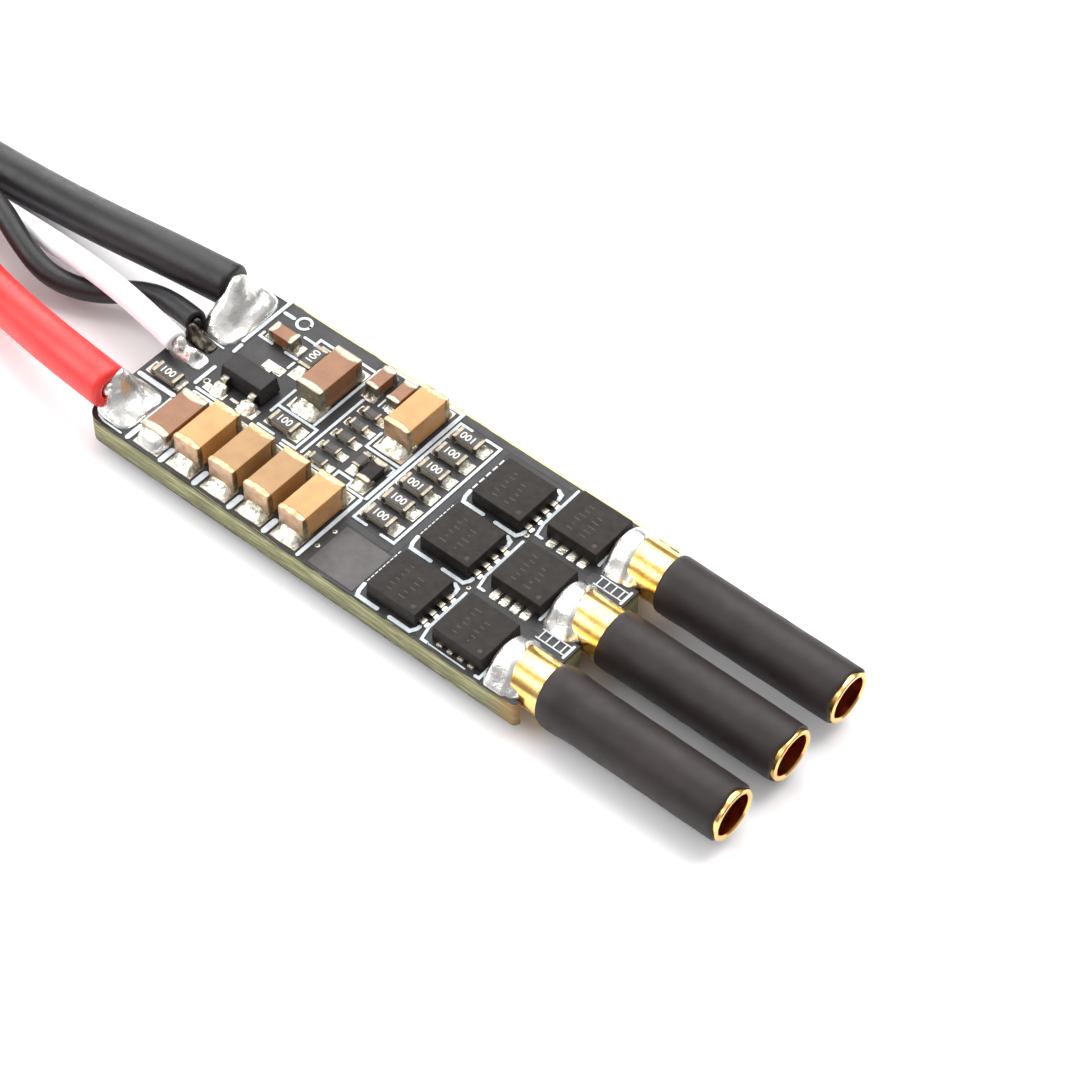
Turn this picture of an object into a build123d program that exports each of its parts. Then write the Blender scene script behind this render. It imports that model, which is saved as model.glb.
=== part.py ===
"""Electronic speed controller for a small brushless motor, as an assembly.

A bare circuit board carries six power transistors, a row of ceramic
capacitors and the small control parts. Battery and signal leads are soldered
to its left end, and three gold-plated bullet sockets in heat-shrink sleeves
are soldered into notches in its right end.

Frame: +X runs along the board from the leads to the mouths of the sockets,
+Y across it, +Z up. The origin is under the middle of the object, on the
surface that it stands on. The spare length of the leads is a tied hank.
"""

import math
import os

from build123d import *

os.makedirs("parts", exist_ok=True)

# ---------------------------------------------------------------- driving sizes, mm
OVERALL_LENGTH = 40.2
BOARD_LENGTH = 28.6
BOARD_WIDTH = 12.57
BOARD_THICKNESS = 1.6
WIRE_CORNER_RADIUS = 0.9
SOCKET_CORNER_RADIUS = 0.3

CHIP_UNDER_HEIGHT = 0.75
BOARD_BOTTOM = CHIP_UNDER_HEIGHT
BOARD_TOP = BOARD_BOTTOM + BOARD_THICKNESS
LEFT = -OVERALL_LENGTH / 2
NEAR = -BOARD_WIDTH / 2

SOCKET_PITCH = 4.43
SOCKET_RADIUS = 1.4
SOCKET_BORE_RADIUS = 1.13
SOCKET_BORE_DEPTH = 9.0
SOCKET_MOUTH_CHAMFER = 0.08
SOCKET_LENGTH = 13.75
SOCKET_DROP = 0.1
SOCKET_TAIL_CHAMFER = 0.3
SOCKET_MOUTH_EASING = 0.05
DRILL_POINT_DEPTH = 0.6
NOTCH_WIDTH = 3.0
NOTCH_DEPTH = 2.3
NOTCH_CORNER_RADIUS = 0.4
SLEEVE_RADIUS = 1.55
SLEEVE_LENGTH = 10.6
SLEEVE_SET_BACK = 0.22
SLEEVE_DRAW_IN = 0.07
SLEEVE_DRAW_LENGTH = 0.12
FIT_GAP = 0.005

POWER_LEAD_DIAMETER = 2.4
SIGNAL_LEAD_DIAMETER = 1.25
POWER_TIP_DIAMETER = 1.2
SIGNAL_TIP_DIAMETER = 0.55
TIP_LENGTH = 3.0

HANK_MIDDLE_Y = -1.1
HANK_FRONT_X = -44.1
HANK_TAIL_X = -42.0
HANK_NECK_X = -50.9
HANK_LOOP_X = -65.9
HANK_LOOP_RADIUS = 12.2
HANK_NECK_HALF_WIDTH = 6.3
HANK_HEIGHT = 2.6
TIE_X = -47.7
TIE_WIDTH = 4.0
TIE_THICKNESS = 0.35

CORD_RADIUS_SHARE = 0.45
STANDING = (Align.CENTER, Align.CENTER, Align.MIN)
HANGING = (Align.CENTER, Align.CENTER, Align.MAX)


def across_board(x, y):
    """A place on the board, from its lead end and its near edge, in the object's frame."""
    return LEFT + x, NEAR + y


def save(piece, node):
    """Names a finished piece and writes it as its own node."""
    piece.part.label = node
    export_step(piece.part, f"parts/{node}.step")


# ---------------------------------------------------------------- circuit board
SOCKET_ROWS = {"a": -SOCKET_PITCH, "b": 0.0, "c": SOCKET_PITCH}
BOARD_RIGHT = LEFT + BOARD_LENGTH
NOTCH_START = BOARD_RIGHT - NOTCH_DEPTH
SOCKET_Z = BOARD_TOP - SOCKET_DROP

with BuildPart(Plane.XY.offset(BOARD_BOTTOM)) as circuit_board:
    with BuildSketch(Plane.XY.offset(BOARD_BOTTOM)):
        with Locations((LEFT + BOARD_LENGTH / 2, 0)):
            Rectangle(BOARD_LENGTH, BOARD_WIDTH)
        with Locations(*[(NOTCH_START + NOTCH_DEPTH, y) for y in SOCKET_ROWS.values()]):
            RectangleRounded(2 * NOTCH_DEPTH, NOTCH_WIDTH, NOTCH_CORNER_RADIUS, mode=Mode.SUBTRACT)
    extrude(amount=BOARD_THICKNESS)
    uprights = circuit_board.edges().filter_by(Axis.Z)
    fillet(uprights.group_by(Axis.X)[0], WIRE_CORNER_RADIUS)
    outer_right = circuit_board.edges().filter_by(Axis.Z).group_by(Axis.X)[-1].sort_by(Axis.Y)
    fillet([outer_right[0], outer_right[-1]], SOCKET_CORNER_RADIUS)
save(circuit_board, "circuit_board")


# ---------------------------------------------------------------- motor sockets
def socket_profile_plane(y):
    """The upright plane through a socket's axis, with its origin at the socket's mouth."""
    return Plane(origin=(-LEFT, y, SOCKET_Z), x_dir=(1, 0, 0), z_dir=(0, -1, 0))


def make_socket(node, y):
    """A turned bullet socket: a blind bore with a chamfered mouth, and a chamfered tail."""
    plane = socket_profile_plane(y)
    with BuildPart() as socket:
        with BuildSketch(plane):
            with BuildLine():
                Polyline(
                    (-SOCKET_LENGTH, 0),
                    (-SOCKET_LENGTH, SOCKET_RADIUS - SOCKET_TAIL_CHAMFER),
                    (-SOCKET_LENGTH + SOCKET_TAIL_CHAMFER, SOCKET_RADIUS),
                    (-SOCKET_MOUTH_EASING, SOCKET_RADIUS),
                    (0, SOCKET_RADIUS - SOCKET_MOUTH_EASING),
                    (0, SOCKET_BORE_RADIUS + SOCKET_MOUTH_CHAMFER),
                    (-SOCKET_MOUTH_CHAMFER, SOCKET_BORE_RADIUS),
                    (-SOCKET_BORE_DEPTH, SOCKET_BORE_RADIUS),
                    (-SOCKET_BORE_DEPTH - DRILL_POINT_DEPTH, 0),
                    close=True,
                )
            make_face()
        revolve(axis=Axis((0, y, SOCKET_Z), (1, 0, 0)))
    save(socket, node)
    return socket


def make_sleeve(node, y):
    """A heat-shrink sleeve round a socket, with its ends drawn in a little."""
    plane = socket_profile_plane(y)
    front = -SLEEVE_SET_BACK
    back = front - SLEEVE_LENGTH
    inner = SOCKET_RADIUS + FIT_GAP
    with BuildPart() as sleeve:
        with BuildSketch(plane):
            with BuildLine():
                Polyline(
                    (back, inner),
                    (back, SLEEVE_RADIUS - SLEEVE_DRAW_IN),
                    (back + SLEEVE_DRAW_LENGTH, SLEEVE_RADIUS),
                    (front - SLEEVE_DRAW_LENGTH, SLEEVE_RADIUS),
                    (front, SLEEVE_RADIUS - SLEEVE_DRAW_IN),
                    (front, inner),
                    close=True,
                )
            make_face()
        revolve(axis=Axis((0, y, SOCKET_Z), (1, 0, 0)))
    save(sleeve, node)


SOLDER_START = NOTCH_START - 0.25
SOLDER_END = BOARD_RIGHT - 0.15
SADDLE_LENGTH = 1.1
SADDLE_THICKNESS = 0.12
SOLDER_FOOT_HALF_WIDTH = 1.75
SOLDER_CREST_HALF_WIDTH = 1.25
SOLDER_CREST_HEIGHT = 0.75


def make_socket_solder(node, y, socket):
    """Solder along both sides of a socket's tail, and a saddle over its end."""
    with BuildPart() as solder:
        with BuildSketch(Plane.YZ.offset(SOLDER_START)):
            with BuildLine():
                Polyline(
                    (y - SOLDER_FOOT_HALF_WIDTH, BOARD_TOP),
                    (y - SOLDER_CREST_HALF_WIDTH, BOARD_TOP + SOLDER_CREST_HEIGHT),
                    (y + SOLDER_CREST_HALF_WIDTH, BOARD_TOP + SOLDER_CREST_HEIGHT),
                    (y + SOLDER_FOOT_HALF_WIDTH, BOARD_TOP),
                    close=True,
                )
            make_face()
        extrude(amount=SOLDER_END - SOLDER_START)
        with BuildSketch(Plane.YZ.offset(SOLDER_START + 0.1)):
            with Locations((y, BOARD_TOP)):
                Circle(SOCKET_RADIUS + SADDLE_THICKNESS)
        extrude(amount=SADDLE_LENGTH)
        keep = Plane.XY.offset(BOARD_TOP)
        split(bisect_by=keep, keep=Keep.TOP)
        add(socket.part, mode=Mode.SUBTRACT)
    save(solder, node)


for letter, row_y in SOCKET_ROWS.items():
    finished_socket = make_socket(f"motor_socket_{letter}", row_y)
    make_sleeve(f"heat_shrink_{letter}", row_y)
    make_socket_solder(f"socket_solder_{letter}", row_y, finished_socket)


# ---------------------------------------------------------------- chip parts
def chip_plane(x, y, along_y, z=BOARD_TOP):
    """The plane a chip stands on, with its own x along the chip."""
    px, py = across_board(x, y)
    x_dir = (0, 1, 0) if along_y else (1, 0, 0)
    return Plane(origin=(px, py, z), x_dir=x_dir, z_dir=(0, 0, 1))


def make_chip(node, x, y, along_y, size, height, rounding):
    """A chip of a standard case size: a body between two slightly thicker plated ends."""
    length, width, terminal = size
    middle = height / 2
    terminal_x = (length - terminal) / 2
    with BuildPart(chip_plane(x, y, along_y)) as chip:
        with Locations((0, 0, middle)):
            Box(length - 2 * terminal, width - 2 * PLATING_STEP, height - PLATING_STEP)
        with Locations((-terminal_x, 0, middle), (terminal_x, 0, middle)):
            Box(terminal, width, height)
        ends = chip.faces().sort_by(Axis.Y if along_y else Axis.X)
        fillet(ends[0].edges() + ends[-1].edges(), rounding)
    save(chip, node)


PLATING_STEP = 0.03
CASE_1206 = (3.2, 1.65, 0.5)
CASE_0603 = (1.6, 0.82, 0.27)
CASE_0402 = (1.0, 0.5, 0.22)

CAPACITOR_EASING = 0.06
RESISTOR_EASING = 0.03

BULK_CAPACITOR_Y = 2.48
REGULATOR_CAPACITOR_PLACE = (8.42, 9.17)
DRIVER_CAPACITOR_PLACE = (13.5, 10.09)
BULK_CAPACITORS = [(4.05, 0.85), (6.32, 1.6), (8.69, 1.6), (11.06, 1.6), (13.4, 1.6)]
for number, (chip_x, chip_height) in enumerate(BULK_CAPACITORS, start=1):
    make_chip(
        f"bulk_capacitor_{number}",
        chip_x,
        BULK_CAPACITOR_Y,
        True,
        CASE_1206,
        chip_height,
        CAPACITOR_EASING,
    )
make_chip("regulator_capacitor", *REGULATOR_CAPACITOR_PLACE, True, CASE_1206, 1.6, CAPACITOR_EASING)
make_chip("driver_capacitor", *DRIVER_CAPACITOR_PLACE, True, CASE_1206, 1.6, CAPACITOR_EASING)

make_chip("bypass_capacitor_1", 4.42, 10.12, False, CASE_0603, 0.8, CAPACITOR_EASING)
make_chip("bypass_capacitor_2", 10.26, 11.02, True, CASE_0603, 0.8, CAPACITOR_EASING)
make_chip("bypass_capacitor_3", 11.7, 10.99, True, CASE_0603, 0.8, CAPACITOR_EASING)

RESISTOR_HEIGHT = 0.45
GATE_RESISTOR_X = 16.11
GATE_RESISTOR_TOP_Y = 11.05
GATE_RESISTOR_PITCH = 1.325
GATE_RESISTOR_YS = [GATE_RESISTOR_TOP_Y - row * GATE_RESISTOR_PITCH for row in range(6)]
for number, chip_y in enumerate(GATE_RESISTOR_YS, start=1):
    make_chip(
        f"gate_resistor_{number}",
        GATE_RESISTOR_X,
        chip_y,
        False,
        CASE_0603,
        RESISTOR_HEIGHT,
        RESISTOR_EASING,
    )
make_chip("signal_resistor", 1.56, 4.47, False, CASE_0603, RESISTOR_HEIGHT, RESISTOR_EASING)
make_chip("regulator_resistor", 8.32, 5.89, False, CASE_0603, RESISTOR_HEIGHT, RESISTOR_EASING)
make_chip("filter_resistor", 6.45, 10.05, True, CASE_0603, RESISTOR_HEIGHT, RESISTOR_EASING)
make_chip("thermistor", 13.88, 6.29, True, CASE_0603, 0.5, RESISTOR_EASING)

SMALL_CHIP_X = 11.24
SMALL_CHIP_TOP_Y = 9.22
SMALL_CHIP_PITCH = 1.0
SMALL_CHIP_HEIGHT = 0.35
LONE_CHIP_X = 12.91
LONE_CHIP_Y = 6.58
with BuildPart() as divider_resistors:
    for row in range(5):
        with Locations(chip_plane(SMALL_CHIP_X, SMALL_CHIP_TOP_Y - row * SMALL_CHIP_PITCH, False)):
            Box(CASE_0402[0], CASE_0402[1], SMALL_CHIP_HEIGHT, align=STANDING)
    with Locations(chip_plane(LONE_CHIP_X, LONE_CHIP_Y, True)):
        Box(CASE_0402[0], CASE_0402[1], SMALL_CHIP_HEIGHT, align=STANDING)
save(divider_resistors, "divider_resistors")

# ---------------------------------------------------------------- power transistors
FET_LENGTH = 3.15
FET_WIDTH = 2.93
FET_HEIGHT = 0.85
FET_LEAD_PITCH = 0.65
FET_LEAD_WIDTH = 0.34
FET_LEAD_REACH = 0.28
FET_LEAD_HEIGHT = 0.22
FET_TOP_EASING = 0.05
FET_TAB_REACH = 0.15
FET_TAB_INSET = 0.3


def make_transistor(node, x, y, leads_along_x):
    """A flat power package: a moulded body with four leads on one side and a tab on the other."""
    px, py = across_board(x, y)
    size_x, size_y = FET_LENGTH, FET_WIDTH
    out = (1, 0, 0) if leads_along_x else (0, -1, 0)
    reach = (size_x if leads_along_x else size_y) / 2
    side = size_y if leads_along_x else size_x
    place = Plane(origin=(px, py, BOARD_TOP), x_dir=out, z_dir=(0, 0, 1))
    with BuildPart(place) as transistor:
        Box(2 * reach, side, FET_HEIGHT, align=STANDING)
        chamfer(transistor.faces().sort_by(Axis.Z)[-1].edges(), FET_TOP_EASING)
        with Locations((reach, 0, 0)):
            with GridLocations(0, FET_LEAD_PITCH, 1, 4):
                Box(2 * FET_LEAD_REACH, FET_LEAD_WIDTH, FET_LEAD_HEIGHT, align=STANDING)
        with Locations((-reach, 0, 0)):
            Box(2 * FET_TAB_REACH, side - 2 * FET_TAB_INSET, FET_LEAD_HEIGHT, align=STANDING)
    save(transistor, node)


HIGH_SIDE_X = 20.26
HIGH_SIDE_YS = {"a": 1.94, "b": 5.87, "c": 9.72}
LOW_SIDE_X = 24.45
LOW_SIDE_YS = {"a": 1.97, "b": 6.29, "c": 10.49}
for letter in "abc":
    make_transistor(f"high_side_transistor_{letter}", HIGH_SIDE_X, HIGH_SIDE_YS[letter], True)
    make_transistor(f"low_side_transistor_{letter}", LOW_SIDE_X, LOW_SIDE_YS[letter], False)

# ---------------------------------------------------------------- voltage regulator
REGULATOR_X = 5.1
REGULATOR_Y = 6.78
REGULATOR_LENGTH = 2.92
REGULATOR_WIDTH = 1.4
REGULATOR_HEIGHT = 1.1
REGULATOR_CLEARANCE = 0.1
REGULATOR_LEAD_WIDTH = 0.4
REGULATOR_LEAD_PITCH = 1.9
REGULATOR_TOP_EASING = 0.1


def add_gull_lead(lead_x, side):
    """One bent lead: out of the body, down to the board and outward. side is -1 or +1 in Y."""
    px, py = across_board(REGULATOR_X + lead_x, REGULATOR_Y)
    start = side * (REGULATOR_WIDTH / 2 - 0.1)
    with BuildSketch(Plane(origin=(px, py, BOARD_TOP), x_dir=(0, 1, 0), z_dir=(1, 0, 0))) as bend:
        with BuildLine():
            Polyline(
                (start, 0.62),
                (start + side * 0.3, 0.62),
                (start + side * 0.45, 0.12),
                (start + side * 0.8, 0.12),
                (start + side * 0.8, 0),
                (start + side * 0.34, 0),
                (start + side * 0.2, 0.48),
                (start, 0.48),
                close=True,
            )
        make_face()
    extrude(bend.sketch, amount=REGULATOR_LEAD_WIDTH / 2, both=True)


with BuildPart(chip_plane(REGULATOR_X, REGULATOR_Y, False)) as voltage_regulator:
    with Locations((0, 0, REGULATOR_CLEARANCE)):
        Box(
            REGULATOR_LENGTH,
            REGULATOR_WIDTH,
            REGULATOR_HEIGHT - REGULATOR_CLEARANCE,
            align=STANDING,
        )
    chamfer(voltage_regulator.faces().sort_by(Axis.Z)[-1].edges(), REGULATOR_TOP_EASING)
    add_gull_lead(-REGULATOR_LEAD_PITCH / 2, -1)
    add_gull_lead(REGULATOR_LEAD_PITCH / 2, -1)
    add_gull_lead(0, 1)
save(voltage_regulator, "voltage_regulator")

# ---------------------------------------------------------------- parts under the board
MICROCONTROLLER_X = 9.0
MICROCONTROLLER_SIZE = 3.0
GATE_DRIVER_X = 22.0
GATE_DRIVER_SIZE = 4.0
with BuildPart(chip_plane(MICROCONTROLLER_X, BOARD_WIDTH / 2, False, BOARD_BOTTOM)) as microcontroller:
    Box(MICROCONTROLLER_SIZE, MICROCONTROLLER_SIZE, CHIP_UNDER_HEIGHT, align=HANGING)
save(microcontroller, "microcontroller")

with BuildPart(chip_plane(GATE_DRIVER_X, BOARD_WIDTH / 2, False, BOARD_BOTTOM)) as gate_driver:
    Box(GATE_DRIVER_SIZE, GATE_DRIVER_SIZE, CHIP_UNDER_HEIGHT, align=HANGING)
save(gate_driver, "gate_driver")

BOOTSTRAP_X = 17.6
BOOTSTRAP_PITCH = 2.2
BOOTSTRAP_HEIGHT = 0.5
with BuildPart() as bootstrap_capacitors:
    for step in (-1, 0, 1):
        middle_y = BOARD_WIDTH / 2 + step * BOOTSTRAP_PITCH
        with Locations(chip_plane(BOOTSTRAP_X, middle_y, False, BOARD_BOTTOM)):
            Box(CASE_0402[0], CASE_0402[1], BOOTSTRAP_HEIGHT, align=HANGING)
save(bootstrap_capacitors, "bootstrap_capacitors")


# ---------------------------------------------------------------- leads
def cord_radii(points):
    """The bend radius at each inner point: as large as its two runs allow."""
    radii = []
    for before, corner, after in zip(points, points[1:], points[2:]):
        into = Vector(*corner) - Vector(*before)
        away = Vector(*after) - Vector(*corner)
        turn = math.radians(into.get_angle(away))
        radii.append(CORD_RADIUS_SHARE * min(into.length, away.length) / math.tan(turn / 2))
    return radii


def make_lead(node, points, diameter):
    """A round lead along runs joined by tangent bends."""
    radii = cord_radii(points)
    with BuildPart() as lead:
        with BuildLine() as route:
            FilletPolyline(*points, radius=radii)
        middle_line = route.wires()[0]
        with BuildSketch(Plane(origin=middle_line @ 0, z_dir=middle_line % 0)):
            Circle(diameter / 2)
        sweep(path=middle_line)
    length = middle_line.length
    expected = math.pi / 4 * diameter**2 * length
    share = lead.part.volume / expected
    listed = ", ".join(f"{radius:.1f}" for radius in radii)
    print(f"{node}: length {length:.2f}, volume share {share:.4f}, radii {listed}")
    save(lead, node)
    return lead


BLACK_ROUTE = [
    (-19.75, 4.18, 3.60),
    (-23.0, 3.85, 3.55),
    (-28.0, 3.70, 2.80),
    (-33.5, 3.95, 1.70),
    (-38.8, 4.00, 1.20),
    (-44.1, 4.00, 1.20),
]
RED_ROUTE = [
    (-19.55, -4.99, 3.60),
    (-22.6, -4.72, 3.45),
    (-26.6, -3.95, 2.70),
    (-31.5, -2.75, 1.70),
    (-36.4, -1.10, 1.22),
    (-40.4, 0.20, 1.20),
    (-44.1, 0.20, 1.20),
]
WHITE_ROUTE = [
    (-19.6, -0.16, 3.05),
    (-21.9, 0.20, 3.12),
    (-24.6, 0.60, 3.05),
    (-27.6, 1.10, 2.50),
    (-31.0, 1.60, 1.75),
    (-34.8, 2.00, 1.00),
    (-39.2, 2.10, 0.63),
    (-44.1, 2.10, 0.63),
]
GROUND_ROUTE = [
    (-19.8, 1.50, 3.06),
    (-21.9, 1.95, 2.70),
    (-24.3, 1.90, 1.85),
    (-26.6, 0.50, 1.30),
    (-29.0, -0.25, 1.50),
    (-31.4, 0.20, 2.15),
    (-34.4, 1.35, 2.50),
    (-38.8, 2.02, 2.05),
    (-44.1, 2.10, 1.90),
]
negative_lead = make_lead("battery_negative_lead", BLACK_ROUTE, POWER_LEAD_DIAMETER)
positive_lead = make_lead("battery_positive_lead", RED_ROUTE, POWER_LEAD_DIAMETER)
signal_lead = make_lead("signal_lead", WHITE_ROUTE, SIGNAL_LEAD_DIAMETER)
ground_lead = make_lead("signal_ground_lead", GROUND_ROUTE, SIGNAL_LEAD_DIAMETER)


# ---------------------------------------------------------------- solder under the leads
def make_joint(node, x, y, length, width, height, lead):
    """A solder joint: a rounded mound on its pad, open where the lead goes in."""
    px, py = across_board(x, y)
    steps = [(0.0, 1.0), (0.55 * height, 0.86), (height, 0.42)]
    with BuildPart() as joint:
        for rise, share in steps:
            with BuildSketch(Plane(origin=(px, py, BOARD_TOP + rise))):
                RectangleRounded(length * share, width * share, min(length, width) * share * 0.35)
        loft()
        add(lead.part, mode=Mode.SUBTRACT)
    save(joint, node)


make_joint("battery_negative_solder", 1.45, 10.0, 2.5, 4.3, 1.9, negative_lead)
make_joint("battery_positive_solder", 1.4, 1.85, 2.5, 3.1, 1.9, positive_lead)
make_joint("signal_solder", 1.35, 6.22, 2.1, 1.0, 1.0, signal_lead)
make_joint("signal_ground_solder", 1.05, 7.35, 1.8, 0.8, 0.9, ground_lead)


# ---------------------------------------------------------------- solder at the chips
def add_wedge(x, y, along, half_width, reach, height):
    """A solder fillet: it starts at a chip's end, is as tall as height there, and runs out to nothing."""
    px, py = across_board(x, y)
    upright = Plane(origin=(px, py, BOARD_TOP), x_dir=along, z_dir=(along[1], -along[0], 0))
    with BuildSketch(upright) as profile:
        with BuildLine():
            Polyline(
                (0, 0),
                (0, height),
                (0.35 * reach, 0.4 * height),
                (reach, 0.02),
                (reach, 0),
                close=True,
            )
        make_face()
    extrude(profile.sketch, amount=half_width, both=True)


HALF_1206 = CASE_1206[0] / 2
HALF_0603 = CASE_0603[0] / 2
BIG_FILLET_HALF_WIDTH = 0.78
SMALL_FILLET_HALF_WIDTH = 0.38
TALL_CAPACITOR_PLACES = [(chip_x, BULK_CAPACITOR_Y) for chip_x, _ in BULK_CAPACITORS]
TALL_CAPACITOR_PLACES += [REGULATOR_CAPACITOR_PLACE, DRIVER_CAPACITOR_PLACE]

with BuildPart() as component_solder:
    for chip_x, chip_y in TALL_CAPACITOR_PLACES:
        add_wedge(chip_x, chip_y - HALF_1206, (0, -1, 0), BIG_FILLET_HALF_WIDTH, 0.65, 0.7)
        add_wedge(chip_x, chip_y + HALF_1206, (0, 1, 0), BIG_FILLET_HALF_WIDTH, 0.5, 0.5)
    for chip_y in GATE_RESISTOR_YS:
        add_wedge(GATE_RESISTOR_X + HALF_0603, chip_y, (1, 0, 0), SMALL_FILLET_HALF_WIDTH, 0.4, 0.3)
        add_wedge(GATE_RESISTOR_X - HALF_0603, chip_y, (-1, 0, 0), SMALL_FILLET_HALF_WIDTH, 0.25, 0.3)
save(component_solder, "component_solder")

# ---------------------------------------------------------------- hank of spare lead
NECK_Y = HANK_NECK_HALF_WIDTH
LOOP_TOP = HANK_LOOP_RADIUS
FLARE_X = (HANK_NECK_X + HANK_LOOP_X) / 2
FLARE_Y = (NECK_Y + LOOP_TOP) / 2
TIE_LOW_X = TIE_X - TIE_WIDTH / 2
TIE_INNER_HEIGHT = HANK_HEIGHT - TIE_THICKNESS
hank_plane = Plane(origin=(0, HANK_MIDDLE_Y, 0))

with BuildPart() as hank_tie:
    with BuildSketch(Plane(origin=(TIE_LOW_X, HANK_MIDDLE_Y, 0), x_dir=(0, 1, 0), z_dir=(1, 0, 0))):
        with Locations((0, HANK_HEIGHT / 2 + TIE_THICKNESS / 2)):
            RectangleRounded(2 * NECK_Y + 2 * TIE_THICKNESS, HANK_HEIGHT + TIE_THICKNESS, 0.6)
            RectangleRounded(2 * NECK_Y, TIE_INNER_HEIGHT, 0.3, mode=Mode.SUBTRACT)
    extrude(amount=TIE_WIDTH)
save(hank_tie, "hank_tie")

with BuildPart() as lead_hank:
    with BuildSketch(hank_plane):
        with BuildLine():
            Polyline((HANK_FRONT_X, 0), (HANK_FRONT_X, NECK_Y), (HANK_NECK_X, NECK_Y))
            Spline(
                (HANK_NECK_X, NECK_Y),
                (FLARE_X, FLARE_Y),
                (HANK_LOOP_X, LOOP_TOP),
                tangents=((-1, 0), (-1, 0)),
            )
            ThreePointArc(
                (HANK_LOOP_X, LOOP_TOP), (HANK_LOOP_X - LOOP_TOP, 0), (HANK_LOOP_X, -LOOP_TOP)
            )
            Spline(
                (HANK_LOOP_X, -LOOP_TOP),
                (FLARE_X, -FLARE_Y),
                (HANK_NECK_X, -NECK_Y),
                tangents=((1, 0), (1, 0)),
            )
            Polyline((HANK_NECK_X, -NECK_Y), (HANK_TAIL_X, -NECK_Y), (HANK_TAIL_X, 0), (HANK_FRONT_X, 0))
        make_face()
    extrude(amount=HANK_HEIGHT)
    with BuildSketch(Plane(origin=(TIE_LOW_X, HANK_MIDDLE_Y, 0), x_dir=(0, 1, 0), z_dir=(1, 0, 0))):
        with Locations((0, HANK_HEIGHT / 2)):
            Rectangle(4 * NECK_Y, 2 * HANK_HEIGHT)
        with Locations((0, HANK_HEIGHT / 2 + TIE_THICKNESS / 2)):
            RectangleRounded(2 * NECK_Y, TIE_INNER_HEIGHT, 0.3, mode=Mode.SUBTRACT)
    extrude(amount=TIE_WIDTH, mode=Mode.SUBTRACT)
save(lead_hank, "lead_hank")

TIPS = [
    (-2.4, 1.2, POWER_TIP_DIAMETER),
    (-6.2, 1.2, POWER_TIP_DIAMETER),
    (-4.3, 0.63, SIGNAL_TIP_DIAMETER),
    (-4.3, 1.9, SIGNAL_TIP_DIAMETER),
]
with BuildPart() as lead_tips:
    for tip_y, tip_z, tip_diameter in TIPS:
        with BuildSketch(Plane(origin=(HANK_TAIL_X, tip_y, tip_z), z_dir=(1, 0, 0))):
            Circle(tip_diameter / 2)
        extrude(amount=TIP_LENGTH)
save(lead_tips, "lead_tips")
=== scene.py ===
"""The looks of the electronic speed controller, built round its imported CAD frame.

Sizes in the helpers are millimetres in the CAD frame, and meshes are made in metres.
The board's own coordinates run from its lead end (x) and its near edge (y).
"""
import random
from math import atan2, copysign, cos, degrees, exp, pi, radians, sin, sqrt

import bmesh
import bpy
from mathutils import Matrix, Vector, noise


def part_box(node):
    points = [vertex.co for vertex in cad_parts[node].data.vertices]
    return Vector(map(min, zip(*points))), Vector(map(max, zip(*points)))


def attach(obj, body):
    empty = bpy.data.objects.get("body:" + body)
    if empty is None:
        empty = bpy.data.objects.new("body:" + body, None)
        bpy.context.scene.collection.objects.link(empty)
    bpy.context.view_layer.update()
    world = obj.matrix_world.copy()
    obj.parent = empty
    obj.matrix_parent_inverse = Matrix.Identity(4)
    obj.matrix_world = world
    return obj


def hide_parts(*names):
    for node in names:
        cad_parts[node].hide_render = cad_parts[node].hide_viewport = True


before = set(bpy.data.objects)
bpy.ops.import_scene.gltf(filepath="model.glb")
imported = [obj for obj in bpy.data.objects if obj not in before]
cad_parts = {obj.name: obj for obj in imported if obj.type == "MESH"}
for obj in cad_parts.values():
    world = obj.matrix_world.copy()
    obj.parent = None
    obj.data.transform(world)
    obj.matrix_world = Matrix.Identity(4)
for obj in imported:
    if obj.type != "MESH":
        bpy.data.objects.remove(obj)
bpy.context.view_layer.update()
MM = 0.001
rng = random.Random(7)


def node_box(node):
    """A CAD node's lowest and highest corners, in millimetres."""
    low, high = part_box(node)
    return low / MM, high / MM


BOARD_LOW, BOARD_HIGH = node_box("circuit_board")
TOP = BOARD_HIGH.z
SUNK = -0.05  # how far plates on the board reach into it
INK_TOP, INK_STEP = 0.048, 0.0005  # crossing prints differ a little in height
GATE_PAD, DIVIDER_PAD = 0.42, 0.27  # half widths
ON_SOLDER = 0.045  # the thinnest solder on a pad
SOCKET_YS, SOCKET_Z = [-4.43, 0.0, 4.43], TOP - 0.1
UP = Vector((0, 0, 1))
BORE_INSIDE, BORE_OUTSIDE = 1.12, 1.16  # radii between which copper turns to gold
RIB_PITCH = 0.35
LEAD_PITCH, LEAD_HALF_WIDTH = 0.65, 0.17


def on_board(x, y, z=0.0):
    """A point from the board's lead end and near edge, z above its upper face."""
    return Vector((BOARD_LOW.x + x, BOARD_LOW.y + y, TOP + z))


def smooth(t):
    """A smooth step from 0 to 1."""
    t = min(1.0, max(0.0, t))
    return t * t * (3 - 2 * t)


def wobble(x, y, z=0.0, size=1.0):
    """Smooth noise from -1 to 1 at a size in millimetres."""
    return noise.noise(Vector((x, y, z)) / size)


def round_part(node):
    """A part that lies along x: its corners, its axis (y, z) and its radius."""
    low, high = node_box(node)
    return low, high, (low.y + high.y) / 2, (low.z + high.z) / 2, (high.z - low.z) / 2


def add_object(name, data):
    """A new object in the scene."""
    made = bpy.data.objects.new(name, data)
    bpy.context.scene.collection.objects.link(made)
    return made


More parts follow.
